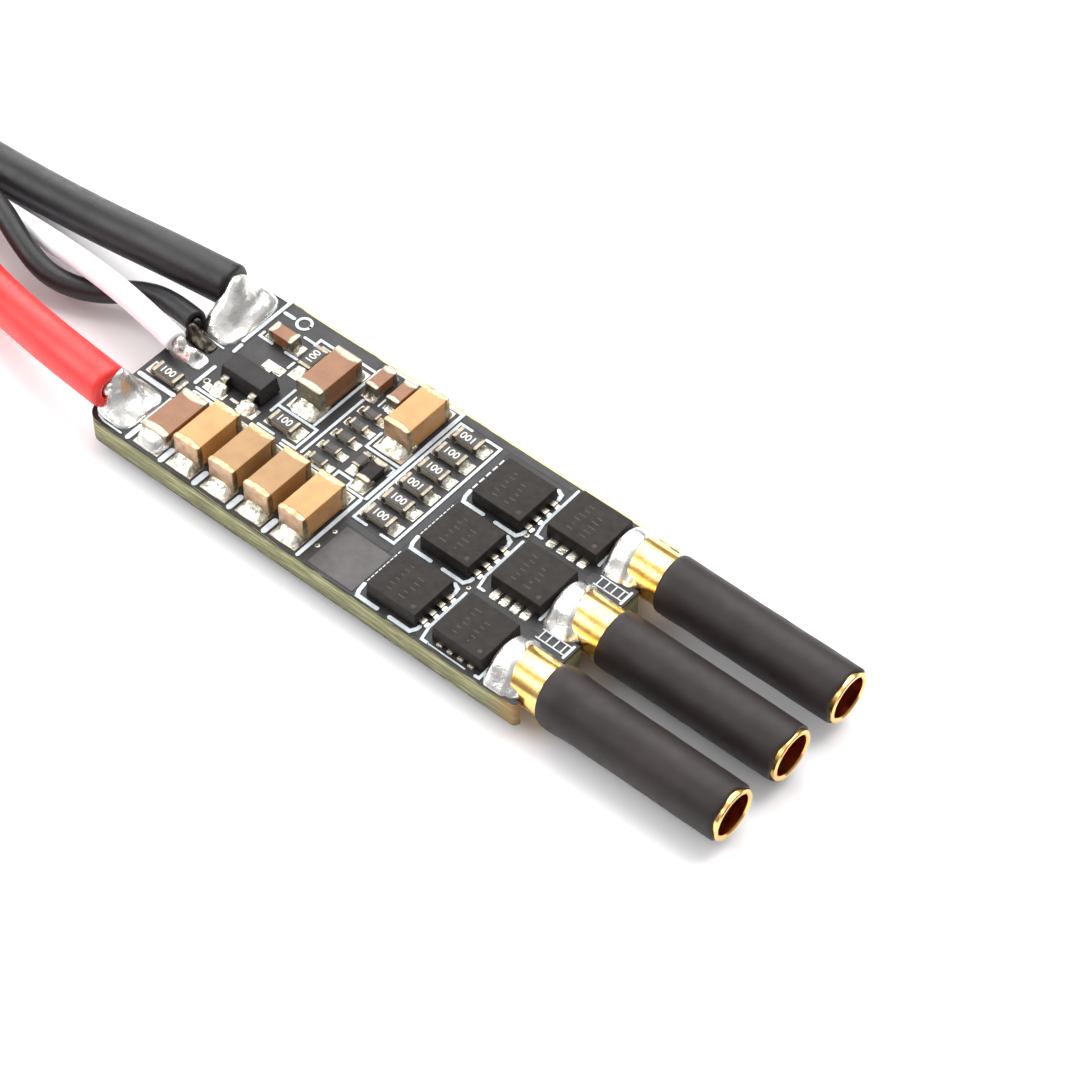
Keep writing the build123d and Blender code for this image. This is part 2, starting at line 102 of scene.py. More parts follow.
# -------- camera
camera_data = bpy.data.cameras.new("camera")
camera_data.lens = 110.79
camera_data.sensor_width = 36.0
camera_data.clip_start = 0.01
camera_data.clip_end = 5.0
camera = add_object("camera", camera_data)
right = Vector((0.76472, 0.64426, 0.01169))
forward = Vector((-0.40497, 0.49465, -0.76898))
up = right.cross(forward)
turn = Matrix((right, up, -forward)).transposed().to_4x4()
camera.matrix_world = Matrix.Translation(Vector((68.743, -78.296, 127.622)) * MM) @ turn
bpy.context.scene.camera = camera


# -------- materials
def linear(red, green, blue):
    """A display colour from 0 to 255 as the linear colour that nodes use."""
    out = []
    for value in (red, green, blue):
        c = value / 255
        out.append(c / 12.92 if c <= 0.04045 else ((c + 0.055) / 1.055) ** 2.4)
    return (*out, 1.0)


def set_stops(ramp, stops):
    """Puts colours at places from 0 to 1 on a colour ramp node."""
    elements = ramp.color_ramp.elements
    while len(elements) < len(stops):
        elements.new(0.5)
    for element, (place, colour) in zip(elements, stops):
        element.position = place
        element.color = colour


class Paint:
    """A procedural material, built node by node round one Principled shader."""

    def __init__(self, name, **constants):
        self.material = bpy.data.materials.new(name)
        self.material.use_nodes = True
        self.tree = self.material.node_tree
        self.shader = self.tree.nodes["Principled BSDF"]
        for socket, value in constants.items():
            self.shader.inputs[socket.replace("_", " ")].default_value = value
        self.place = self.node("ShaderNodeTexCoord").outputs["Object"]

    def wire(self, node, inputs):
        """Links outputs into a node's sockets, or sets the sockets' own values."""
        for socket, value in inputs.items():
            if isinstance(value, bpy.types.NodeSocket):
                self.tree.links.new(value, node.inputs[socket])
            else:
                node.inputs[socket].default_value = value

    def node(self, kind, inputs=None, **settings):
        made = self.tree.nodes.new(kind)
        for key, value in settings.items():
            setattr(made, key, value)
        self.wire(made, inputs or {})
        return made

    def noise(self, size, detail=3.0, stretch=(1, 1, 1)):
        """Noise whose lumps are about size millimetres, drawn out by stretch."""
        scale = [1 / (MM * size * s) for s in stretch]
        place = self.node("ShaderNodeMapping", {"Vector": self.place, "Scale": scale}).outputs["Vector"]
        inputs = {"Vector": place, "Scale": 1.0, "Detail": detail, "Roughness": 0.55}
        return self.node("ShaderNodeTexNoise", inputs).outputs["Fac"]

    def ramp(self, value, *stops):
        """Colours at places from 0 to 1 along a value."""
        made = self.node("ShaderNodeValToRGB", {"Fac": value})
        set_stops(made, stops)
        return made.outputs["Color"]

    def two_tone(self, value, dark, light, low=0.3, high=0.7):
        """Two display colours, blended over the value's low..high."""
        return self.ramp(value, (low, linear(*dark)), (high, linear(*light)))

    def span(self, value, low, high, out_low=0.0, out_high=1.0):
        """The value's low..high mapped to out_low..out_high, and held there."""
        inputs = {"Value": value, "From Min": low, "From Max": high, "To Min": out_low, "To Max": out_high}
        return self.node("ShaderNodeMapRange", inputs).outputs["Result"]

    def math(self, operation, a, b=0.0):
        return self.node("ShaderNodeMath", {0: a, 1: b}, operation=operation).outputs["Value"]

    def mix(self, share, a, b):
        return self.node("ShaderNodeMix", {0: share, 6: a, 7: b}, data_type="RGBA").outputs[2]

    def axes(self, source=None):
        return self.node("ShaderNodeSeparateXYZ", {"Vector": source or self.place}).outputs

    def finish(self, colour, roughness, relief, depth):
        """The material, with its colour, its roughness and a relief of depth millimetres."""
        bump = self.node("ShaderNodeBump", {"Distance": depth * MM, "Strength": 1.0, "Height": relief})
        inputs = {"Base Color": colour, "Roughness": roughness, "Normal": bump.outputs["Normal"]}
        self.wire(self.shader, inputs)
        return self.material


def mottled(name, dark, light, size, rough, relief, relief_size=None, **constants):
    """A colour that wanders between two display colours, with uneven roughness and relief."""
    paint = Paint(name, **constants)
    colour = paint.two_tone(paint.noise(size, 4.0), dark, light)
    gloss = paint.span(paint.noise(size * 0.6), 0.3, 0.7, *rough)
    return paint.finish(colour, gloss, paint.noise(relief_size or size * 0.4, 4.0), relief)


def metal(*looks):
    """The same in metal."""
    return mottled(*looks, Metallic=1.0)


def board_paint():
    """Solder mask on the two faces, and the laminate's layers on the edges."""
    paint = Paint("board", Specular_IOR_Level=0.35)
    x, y, z = paint.axes()
    normal = paint.node("ShaderNodeNewGeometry").outputs["Normal"]
    face = paint.span(paint.math("ABSOLUTE", paint.axes(normal)[2]), 0.5, 0.7)
    weave = paint.noise(0.2, 4.0, (8, 8, 0.7))
    streak = paint.noise(0.45, 4.0, (4, 4, 0.5))
    level = paint.span(z, BOARD_LOW.z * MM, TOP * MM)
    level = paint.math("ADD", level, paint.span(streak, 0.3, 0.7, -0.04, 0.04))
    layers = (
        (0.0, 52, 52, 40), (0.07, 112, 112, 82), (0.45, 136, 134, 98), (0.66, 142, 140, 102),
        (0.70, 186, 184, 140), (0.74, 138, 138, 98), (0.86, 122, 122, 88),
        (0.91, 46, 43, 38), (1.0, 26, 24, 26),
    )
    edge = paint.ramp(level, *[(place, linear(*colour)) for place, *colour in layers])
    edge = paint.mix(paint.span(weave, 0.5, 0.6, 0.0, 0.55), edge, linear(92, 92, 68))
    edge = paint.mix(paint.span(weave, 0.46, 0.38, 0.0, 0.5), edge, linear(184, 180, 140))
    by_sockets = paint.span(x, (BOARD_HIGH.x - 1.7) * MM, (BOARD_HIGH.x - 0.5) * MM)
    near = paint.span(y, (BOARD_LOW.y + 0.9) * MM, (BOARD_LOW.y + 0.3) * MM)
    amber = paint.math("MULTIPLY", paint.math("MULTIPLY", by_sockets, near), paint.span(streak, 0.35, 0.6))
    edge = paint.mix(amber, edge, linear(150, 114, 62))
    mask = paint.two_tone(paint.noise(1.2, 6.0), (23, 22, 24), (38, 37, 40))
    rim_y = paint.math("ADD", y, paint.span(streak, 0.35, 0.65, -0.07 * MM, 0.07 * MM))
    rim = paint.span(rim_y, (BOARD_HIGH.y - 0.2) * MM, (BOARD_HIGH.y - 0.13) * MM)
    colour = paint.mix(face, edge, paint.mix(rim, mask, linear(212, 202, 148)))
    relief = paint.math("ADD", paint.noise(0.5), paint.math("MULTIPLY", weave, 0.6))
    return paint.finish(colour, paint.span(face, 0.0, 1.0, 0.72, 0.42), relief, 0.02)


def silicone(name, dark, light, shine, rough=(0.34, 0.46), relief=0.012):
    """A soft jacket: nearly even colour, fine grain and a few longer waves."""
    paint = Paint(name, Specular_IOR_Level=shine)
    colour = paint.two_tone(paint.noise(2.5), dark, light)
    gloss = paint.span(paint.noise(0.8, 4.0), 0.3, 0.7, *rough)
    waves = paint.math("MULTIPLY", paint.noise(1.6, 2.0), 2.5)
    return paint.finish(colour, gloss, paint.math("ADD", paint.noise(0.12), waves), relief)


def ceramic(name, dark, light):
    """Capacitor body: smooth fired ceramic with faint specks."""
    paint = Paint(name, Specular_IOR_Level=0.45, Coat_Weight=0.15, Coat_Roughness=0.25)
    base = paint.two_tone(paint.noise(0.9, 4.0), dark, light)
    specks = paint.span(paint.noise(0.09, 2.0), 0.72, 0.78, 0.0, 0.5)
    gloss = paint.span(paint.noise(0.3), 0.3, 0.7, 0.36, 0.5)
    return paint.finish(paint.mix(specks, base, linear(110, 74, 44)), gloss, paint.noise(0.1), 0.006)


def solder_paint(name, dull, bright, size, rough, relief):
    """Bright tin-lead metal with duller, slightly wrinkled patches and fine dark specks."""
    paint = Paint(name, Metallic=1.0)
    patch = paint.noise(size, 4.0)
    base = paint.two_tone(patch, dull, bright, 0.34, 0.6)
    specks = paint.span(paint.noise(0.11, 2.0), 0.66, 0.74, 0.0, 0.55)
    gloss = paint.span(patch, 0.35, 0.65, rough[1], rough[0])
    waves = paint.math("ADD", paint.noise(0.2), paint.math("MULTIPLY", paint.noise(0.7, 1.0), 2.0))
    return paint.finish(paint.mix(specks, base, linear(92, 84, 74)), gloss, waves, relief)


def gold_paint():
    """Gold plating with faint turning lines round the sockets, and their redder copper bores."""
    paint = Paint("gold", Metallic=1.0)
    y, z = paint.axes()[1:]

    def squared(value, middle):
        across = paint.math("SUBTRACT", value, middle * MM)
        return paint.math("MULTIPLY", across, across)

    rise, nearest = squared(z, SOCKET_Z), 1.0
    for middle in SOCKET_YS:
        nearest = paint.math("MINIMUM", paint.math("ADD", squared(y, middle), rise), nearest)
    inside = paint.span(paint.math("SQRT", nearest), BORE_INSIDE * MM, BORE_OUTSIDE * MM, 1.0, 0.0)
    plated = paint.two_tone(paint.noise(1.2), (250, 197, 110), (254, 216, 142))
    gloss = paint.span(paint.noise(0.5), 0.3, 0.7, 0.15, 0.27)
    lines = paint.noise(0.07, 2.0, (1, 40, 40))
    return paint.finish(paint.mix(inside, plated, linear(236, 128, 84)), gloss, lines, 0.004)


def tie_paint():
    """A woven hook-and-loop strap."""
    paint = Paint("tie", Sheen_Weight=0.5, Sheen_Roughness=0.6)
    ribs = paint.math("SINE", paint.math("MULTIPLY", paint.axes()[0], 2 * pi / (RIB_PITCH * MM)))
    fuzz = paint.noise(0.12, 4.0)
    colour = paint.two_tone(fuzz, (26, 26, 28), (46, 46, 50))
    return paint.finish(colour, paint.span(fuzz, 0.3, 0.7, 0.75, 0.95), paint.math("ADD", ribs, fuzz), 0.05)


def plastic(*looks, shine):
    """A mottled material with less shine."""
    return mottled(*looks, Specular_IOR_Level=shine)


BOARD = board_paint()
POUR = plastic("mask_over_copper", (36, 35, 37), (50, 48, 50), 1.1, (0.38, 0.5), 0.01, 0.3, shine=0.35)
GLOSS_POUR = plastic("mask_over_plane", (52, 47, 47), (74, 68, 68), 1.0, (0.3, 0.44), 0.02, 0.5, shine=0.4)
INK = mottled("silkscreen_ink", (176, 184, 188), (204, 210, 213), 0.5, (0.45, 0.6), 0.008, 0.1)
SOLDER = solder_paint("solder", (222, 219, 213), (252, 251, 248), 0.8, (0.22, 0.34), 0.018)
BURNT = solder_paint("burnt_joint", (26, 23, 21), (84, 78, 70), 0.35, (0.3, 0.45), 0.03)
JOINT = solder_paint("chip_solder", (124, 119, 104), (222, 218, 203), 0.3, (0.22, 0.38), 0.03)
PAD = metal("tinned_pad", (142, 136, 124), (182, 176, 164), 0.4, (0.24, 0.4), 0.01, 0.2)
GOLD = gold_paint()
TAN = ceramic("ceramic_tan", (183, 129, 72), (196, 143, 84))
TAN_DULL = ceramic("ceramic_tan_dull", (150, 110, 62), (165, 124, 74))
BROWN = ceramic("ceramic_brown", (122, 77, 42), (138, 91, 52))
CREAM = metal("terminal_top", (156, 128, 94), (206, 184, 150), 0.3, (0.36, 0.5), 0.02, 0.14)
# Painted reflection: the flat end faces of the tan chips' terminals take this lighter, pinker copy of the
# terminal metal, standing in for the floor light those faces catch.
END_FACE_PAINTED_REFLECTION = metal("terminal_end_painted_reflection", (184, 150, 122), (216, 184, 156), 0.35, (0.32, 0.46), 0.012, 0.12)
TIN = metal("terminal_tin", (142, 133, 118), (176, 166, 150), 0.3, (0.32, 0.46), 0.012, 0.12)
RESISTOR_END = metal("resistor_end", (124, 115, 102), (158, 149, 134), 0.25, (0.36, 0.5), 0.01, 0.1)
ALUMINA = mottled("alumina", (128, 120, 106), (150, 142, 126), 0.4, (0.5, 0.65), 0.01, 0.08)
GLAZE = mottled("resistor_glaze", (38, 36, 34), (50, 47, 45), 0.3, (0.35, 0.5), 0.006, 0.1)
CODE_INK = mottled("resistor_code", (196, 194, 186), (214, 212, 206), 0.3, (0.4, 0.55), 0.004, 0.05)
MOULD = plastic("mould_compound", (31, 26, 24), (40, 35, 32), 0.6, (0.52, 0.66), 0.006, 0.05, shine=0.22)
ETCH = mottled("faint_mark", (42, 33, 28), (54, 44, 37), 0.25, (0.6, 0.75), 0.006, 0.05)
REG_MOULD = plastic("regulator_mould", (32, 29, 30), (41, 37, 38), 0.8, (0.46, 0.6), 0.006, 0.05, shine=0.28)
SLEEVE = silicone("heat_shrink", (36, 30, 29), (45, 38, 37), 0.28, (0.42, 0.56), 0.006)
JACKET_BLACK = silicone("jacket_black", (20, 18, 20), (31, 29, 31), 0.36)
JACKET_RED = silicone("jacket_red", (208, 34, 32), (228, 48, 44), 0.5)
JACKET_WHITE = silicone("jacket_white", (238, 234, 240), (248, 245, 250), 0.45)
STRANDS = metal("tinned_strands", (200, 194, 184), (226, 220, 210), 0.3, (0.25, 0.4), 0.03, 0.1)
FLUX_LOOKS = {"Coat_Weight": 0.5, "Transmission_Weight": 0.2}
FLUX = mottled("flux_residue", (72, 50, 30), (112, 82, 50), 0.4, (0.12, 0.3), 0.03, 0.2, **FLUX_LOOKS)
TIE = tie_paint()
CHIP_UNDER = mottled("chip_mould", (38, 37, 39), (50, 48, 50), 0.8, (0.45, 0.6), 0.01, 0.06)


# -------- shapes
def settle(piece, nodes=()):
    """Puts a piece on the root body and in place of its CAD nodes."""
    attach(piece, "root")
    if nodes:
        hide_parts(*nodes)
    return piece


def skin(rows, count, joined=False):
    """Faces between neighbouring rings of count points, and from the last to the first if joined."""
    faces = []
    for k in range(rows if joined else rows - 1):
        a, b = k * count, (k + 1) % rows * count
        faces += [[a + j, a + (j + 1) % count, b + (j + 1) % count, b + j] for j in range(count)]
    return faces


class Shape:
    """Collects vertices in millimetres and faces with a material number, then makes one piece."""

    def __init__(self):
        self.verts, self.faces, self.tags = [], [], []

    def add(self, verts, faces, tag=0):
        start = len(self.verts)
        self.verts += [Vector(v) for v in verts]
        self.faces += [[start + i for i in face] for face in faces]
        self.tags += [tag] * len(faces)

    def loft(self, rings, tag=0, first=True, last=True):
        """Skins rings of equal point counts, with flat ends where first and last say."""
        count = len(rings[0])
        faces = skin(len(rings), count)
        if first:
            faces.append(list(range(count))[::-1])
        if last:
            faces.append([(len(rings) - 1) * count + j for j in range(count)])
        self.add([p for ring in rings for p in ring], faces, tag)

    def block(self, low, high, bevel, tag=0, taper=0.0, segments=2):
        """A box with rounded edges, drawn in at the top by taper."""
        low, high = Vector(low), Vector(high)
        box = bmesh.new()
        bmesh.ops.create_cube(box, size=1.0)
        for v in box.verts:
            inset = taper if v.co.z > 0 else 0.0
            for i, drawn in enumerate((inset, inset, 0.0)):
                v.co[i] = low[i] + drawn if v.co[i] < 0 else high[i] - drawn
        bmesh.ops.bevel(box, geom=box.edges[:], offset=bevel, segments=segments, profile=0.6, affect="EDGES")
        box.verts.index_update()
        self.add([v.co.copy() for v in box.verts], [[v.index for v in f.verts] for f in box.faces], tag)
        box.free()

    def plates(self, areas, top, bevel):
        """Thin plates on the board, each from one corner to the other in board coordinates."""
        for x0, y0, x1, y1 in areas:
            self.block(on_board(x0, y0, SUNK), on_board(x1, y1, top), bevel, segments=1)

    def mound(self, centre, half_x, half_y, height, power, rings, around, foot=-0.02):
        """A lump on a flat face: a rounded outline, and height(x, y, rho) above the centre's z."""
        verts = []
        for k in range(rings + 1):
            rho = 1 - k / (rings + 1)
            for j in range(around):
                a = 2 * pi * j / around
                ux, uy = (copysign(abs(c) ** (2 / power), c) for c in (cos(a), sin(a)))
                x = centre[0] + half_x * rho * ux
                y = centre[1] + half_y * rho * uy
                verts.append((x, y, centre[2] + (height(x, y, rho) if k else foot)))
        verts.append((centre[0], centre[1], centre[2] + height(centre[0], centre[1], 0.0)))
        last = rings * around
        faces = skin(rings + 1, around)
        faces += [[last + j, last + (j + 1) % around, len(verts) - 1] for j in range(around)]
        self.add(verts, faces + [list(range(around))[::-1]])

    def strip(self, points, width, high):
        """A printed line on the board along points in board coordinates, with rounded ends."""
        flat = [Vector(p) for p in points]
        steps = [(b - a).normalized() for a, b in zip(flat, flat[1:])]
        left, other = [], []
        for p, before, after in zip(flat, steps[:1] + steps, steps + steps[-1:]):
            way = (before + after).normalized()
            side = Vector((-way.y, way.x))
            spread = 1 / max(0.5, side.dot(Vector((-after.y, after.x))))
            left.append(p + side * width / 2 * spread)
            other.append(p - side * width / 2 * spread)
        caps = []
        for p, q in ((flat[-1], flat[-2]), (flat[0], flat[1])):
            way = (p - q).normalized()
            side = Vector((-way.y, way.x))
            angles = (0.5, 1.05, 1.57, 2.09, 2.64)
            caps.append([p + (side * cos(a) + way * sin(a)) * width / 2 for a in angles])
        outline = left + caps[0] + other[::-1] + caps[1]
        n, count = len(left), len(outline)
        last = 2 * count - 6
        faces = skin(2, count)
        faces += [[last - i, last - i - 1, count + i + 1, count + i] for i in range(n - 1)]
        faces += [list(range(count + n + 5, count + n - 2, -1)), [count, *range(last + 5, last - 1, -1)]]
        self.add([on_board(p.x, p.y, z) for z in (-0.01, high) for p in outline], faces)

    def make(self, name, materials, nodes=(), sharp=40):
        """Makes the piece: welded, with outward faces, riding on the root body."""
        mesh = bpy.data.meshes.new(name)
        mesh.from_pydata([v * MM for v in self.verts], [], self.faces)
        for item in materials if isinstance(materials, list) else [materials]:
            mesh.materials.append(item)
        mesh.polygons.foreach_set("material_index", self.tags)
        work = bmesh.new()
        work.from_mesh(mesh)
        bmesh.ops.remove_doubles(work, verts=work.verts, dist=1e-7)
        bmesh.ops.recalc_face_normals(work, faces=work.faces)
        work.to_mesh(mesh)
        work.free()
        mesh.shade_smooth()
        mesh.set_sharp_from_angle(angle=radians(sharp))
        return settle(add_object(name, mesh), nodes)


def turned(shape, start, direction, profile, tag=0, around=40, ripple=None, first=True, last=True):
    """A turned piece: rings of radius r at distance t along a direction, for each (t, r) of the profile."""
    way = Vector(direction).normalized()
    helper = UP if abs(way.z) < 0.9 else Vector((1, 0, 0))
    side = helper.cross(way).normalized()
    lift = way.cross(side)
    rings = []
    for t, r in profile:
        ring = []
        for j in range(around):
            a = 2 * pi * j / around
            out = side * cos(a) + lift * sin(a)
            grown = r + (ripple(t, a) if ripple else 0.0)
            ring.append(Vector(start) + way * t + out * grown)
        rings.append(ring)
    shape.loft(rings, tag, first=first, last=last)


def corner_arcs(half_w, low, high, corner, steps):
    """A rounded rectangle's four corners as arcs of (middle across, middle up, angle) points."""
    near, far, top, bottom = half_w - corner, -half_w + corner, high - corner, low + corner
    return [
        [(y, z, pi / 2 * (k + step / steps)) for step in range(steps + 1)]
        for k, (y, z) in enumerate(((near, top), (far, top), (far, bottom), (near, bottom)))
    ]


# -------- leads
POWER, SIGNAL = 2.4, 1.25
BLACK_ROUTE = [
    (-19.75, 4.18, 3.60), (-23.0, 3.85, 3.55), (-28.0, 3.70, 2.80), (-33.5, 3.95, 1.70),
    (-38.8, 4.00, 1.20), (-44.1, 4.00, 1.20),
]
RED_ROUTE = [
    (-19.55, -4.99, 3.60), (-22.6, -4.72, 3.45), (-26.6, -3.95, 2.70), (-31.5, -2.75, 1.70),
    (-36.4, -1.10, 1.22), (-40.4, 0.20, 1.20), (-44.1, 0.20, 1.20),
]
WHITE_ROUTE = [
    (-19.6, -0.16, 3.05), (-21.9, 0.20, 3.12), (-24.6, 0.60, 3.05), (-27.6, 1.10, 2.50),
    (-31.0, 1.60, 1.75), (-34.8, 2.00, 1.00), (-39.2, 2.10, 0.63), (-44.1, 2.10, 0.63),
]
GROUND_ROUTE = [
    (-19.8, 1.50, 3.06), (-21.9, 1.95, 2.70), (-24.3, 1.90, 1.85), (-26.6, 0.50, 1.30),
    (-29.0, -0.25, 1.50), (-31.4, 0.20, 2.15), (-34.4, 1.35, 2.50), (-38.8, 2.02, 2.05),
    (-44.1, 2.10, 1.90),
]
HANK_MIDDLE_Y, HANK_NECK_X, HANK_LOOP_X, HANK_TAIL_X = -1.1, -50.9, -65.9, -42.0
TIE_X = -47.7


def hank_points(offset, loop_radius, z, lift):
    """The rest of a lead past the view: out through the tie, round the loop and back to its tip."""
    spread = loop_radius - offset
    points = [(TIE_X, offset, lift), (HANK_NECK_X, offset, 0.6 * lift)]
    for x, share in ((-54.6, 0.1), (-58.4, 0.5), (-62.2, 0.9)):
        points.append((x, offset + share * spread, 0.0))
    step = pi / 6
    reach = loop_radius / cos(step / 2)
    for k in range(6):
        a = pi / 2 + (k + 0.5) * step
        points.append((HANK_LOOP_X + reach * cos(a), reach * sin(a), 0.0))
    back = [(x, -y, rise) for x, y, rise in points[4:1:-1]]
    points += back + [(HANK_NECK_X, -offset, 0.6 * lift), (TIE_X, -offset, lift), (HANK_TAIL_X, -offset, 0.0)]
    return [(x, HANK_MIDDLE_Y + y, z + rise) for x, y, rise in points]


def make_cord(name, route, offset, loop_radius, lift, diameter, paint, slot, node, length):
    """One lead as one NURBS curve: its seen route, then its part of the hank."""
    points = route + hank_points(offset, loop_radius, route[-1][2], lift)
    curve = bpy.data.curves.new(name, "CURVE")
    curve.dimensions = "3D"
    curve.bevel_depth = diameter / 2 * MM
    curve.bevel_resolution = 10
    curve.resolution_u = 24
    curve.use_fill_caps = True
    spline = curve.splines.new("NURBS")
    spline.points.add(len(points) - 1)
    for control, p in zip(spline.points, points):
        control.co = (*(Vector(p) * MM), 1.0)
    spline.order_u = 3
    spline.use_endpoint_u = True
    curve.materials.append(paint)
    piece = settle(add_object(name, curve), (node, "lead_hank"))
    jacket_end(name, route, diameter, paint)
    lead_tip(name, points, diameter)


def jacket_end(name, route, diameter, paint):
    """The rounded cut end of a jacket at the board, with the conductor's hole."""
    shape = Shape()
    start = Vector(route[0])
    r, seed, roll = diameter / 2, len(name), 0.12 * diameter
    profile = [(-0.2 * r, r * 0.995), (0.0, r * 1.002)]
    profile += [(roll * sin(a), r - roll * (1 - cos(a))) for a in (0.4, 0.8, 1.2, 1.57)]
    profile += [(roll * 1.0, r * 0.62), (roll * 0.8, r * 0.52), (-0.1 * r, r * 0.5)]

    def uneven(t, a):
        return 0.03 * diameter * wobble(cos(a), sin(a), t + seed, 0.8) * smooth(t + 0.3)

    turned(shape, start, start - Vector(route[1]), profile, ripple=uneven, around=44)
    return shape.make(f"{name}_end", paint)


def lead_tip(name, points, diameter):
    """The stripped, twisted and tinned tip at the far end."""
    shape = Shape()
    r, strands = (0.6, 12) if diameter > 2 else (0.275, 7)
    profile = [(-0.3, r * 0.9)] + [(2.8 * k / 20, r * 0.95) for k in range(21)]
    profile += [(2.9, r * 0.75), (2.97, r * 0.35)]

    def twist(t, a):
        return 0.05 * r * cos(strands * (a + 0.9 * t / r * 0.4))

    turned(shape, points[-1], (1, 0, 0), profile, ripple=twist, around=72)
    return shape.make(f"{name}_tip", STRANDS, ["lead_tips"], sharp=60)


BLACK, RED, WHITE = (JACKET_BLACK, "lead_black"), (JACKET_RED, "lead_red"), (JACKET_WHITE, "lead_white")
for lead, route, looks, size, cad_lead, nominal in (
    ("negative", BLACK_ROUTE, BLACK, (5.1, 11.0, 0.3, POWER), "battery_negative_lead", 0.105),
    ("positive", RED_ROUTE, RED, (1.3, 7.2, 0.3, POWER), "battery_positive_lead", 0.1),
    ("signal", WHITE_ROUTE, WHITE, (3.2, 9.1, 0.3, SIGNAL), "signal_lead", 0.1),
    ("ground", GROUND_ROUTE, BLACK, (3.2, 9.1, 0.26, SIGNAL), "signal_ground_lead", 0.1),
):
    make_cord(f"lead_{lead}", route, *size, *looks, cad_lead, nominal)


def make_tie():
    """A woven strap closed round the hank's neck, with its tail laid over itself."""
    half_x, half_w, low, high, corner, thickness = 2.0, 6.48, 0.03, 3.0, 1.0, 0.27
    outline = [
        (y + corner * cos(a), z + corner * sin(a), cos(a), sin(a))
        for arc in corner_arcs(half_w, low, high, corner, 6)
        for y, z, a in arc
    ]
    sections = [(-half_x, 0.06), (-half_x + 0.1, 0.0), (half_x - 0.1, 0.0), (half_x, 0.06)]
    sections += [(x, thickness - drawn) for x, drawn in sections[::-1]]
    verts = [
        Vector((TIE_X + x, HANK_MIDDLE_Y + y - ny * drawn, z - nz * drawn))
        for x, drawn in sections
        for y, z, ny, nz in outline
    ]
    shape = Shape()
    shape.add(verts, skin(len(sections), len(outline), joined=True))
    tail = (TIE_X - half_x + 0.05, HANK_MIDDLE_Y - 4.6, high - 0.02)
    shape.block(tail, (TIE_X + half_x - 0.05, HANK_MIDDLE_Y + 3.4, high + 0.2), 0.09)
    shape.make("hank_strap", TIE, ["hank_tie"])


make_tie()


# -------- board
def dress(node, paint):
    """Gives a CAD node that keeps its own shape a better material."""
    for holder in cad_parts[node].material_slots:
        holder.material = paint


def middles(name, count, axis):
    """The middles of a numbered row of nodes, along one of the board's axes."""
    boxes = [node_box(f"{name}_{number}") for number in range(1, count + 1)]
    return [(low[axis] + high[axis]) / 2 - BOARD_LOW[axis] for low, high in boxes]


def make_pours():
    """Copper areas under the solder mask: slightly raised and lighter."""
    shape = Shape()
    areas = [
        (3.0, 10.9, 9.25, 12.42), (9.25, 12.05, 14.8, 12.42), (14.8, 11.95, 22.1, 12.42),
        (22.1, 8.8, 22.45, 12.42), (22.45, 12.05, 26.1, 12.42), (17.72, 3.15, 18.12, 11.95),
        (14.8, 3.15, 17.72, 3.5), (22.05, 0.2, 22.6, 8.1), (3.0, 7.3, 5.6, 9.45), (0.2, 4.05, 2.6, 5.2),
        (9.6, 10.0, 10.05, 12.05), (7.2, 4.95, 9.6, 6.6), (26.15, 4.05, 26.7, 4.6), (26.15, 8.0, 28.35, 8.72),
        (26.75, 3.75, 28.4, 4.18),
    ]
    shape.plates(areas, 0.012, 0.012)
    shape.make("mask_over_copper", POUR)
    shape = Shape()
    shape.plates([(15.12, 0.14, 18.08, 3.06)], 0.03, 0.02)
    shape.make("mask_over_plane", GLOSS_POUR)


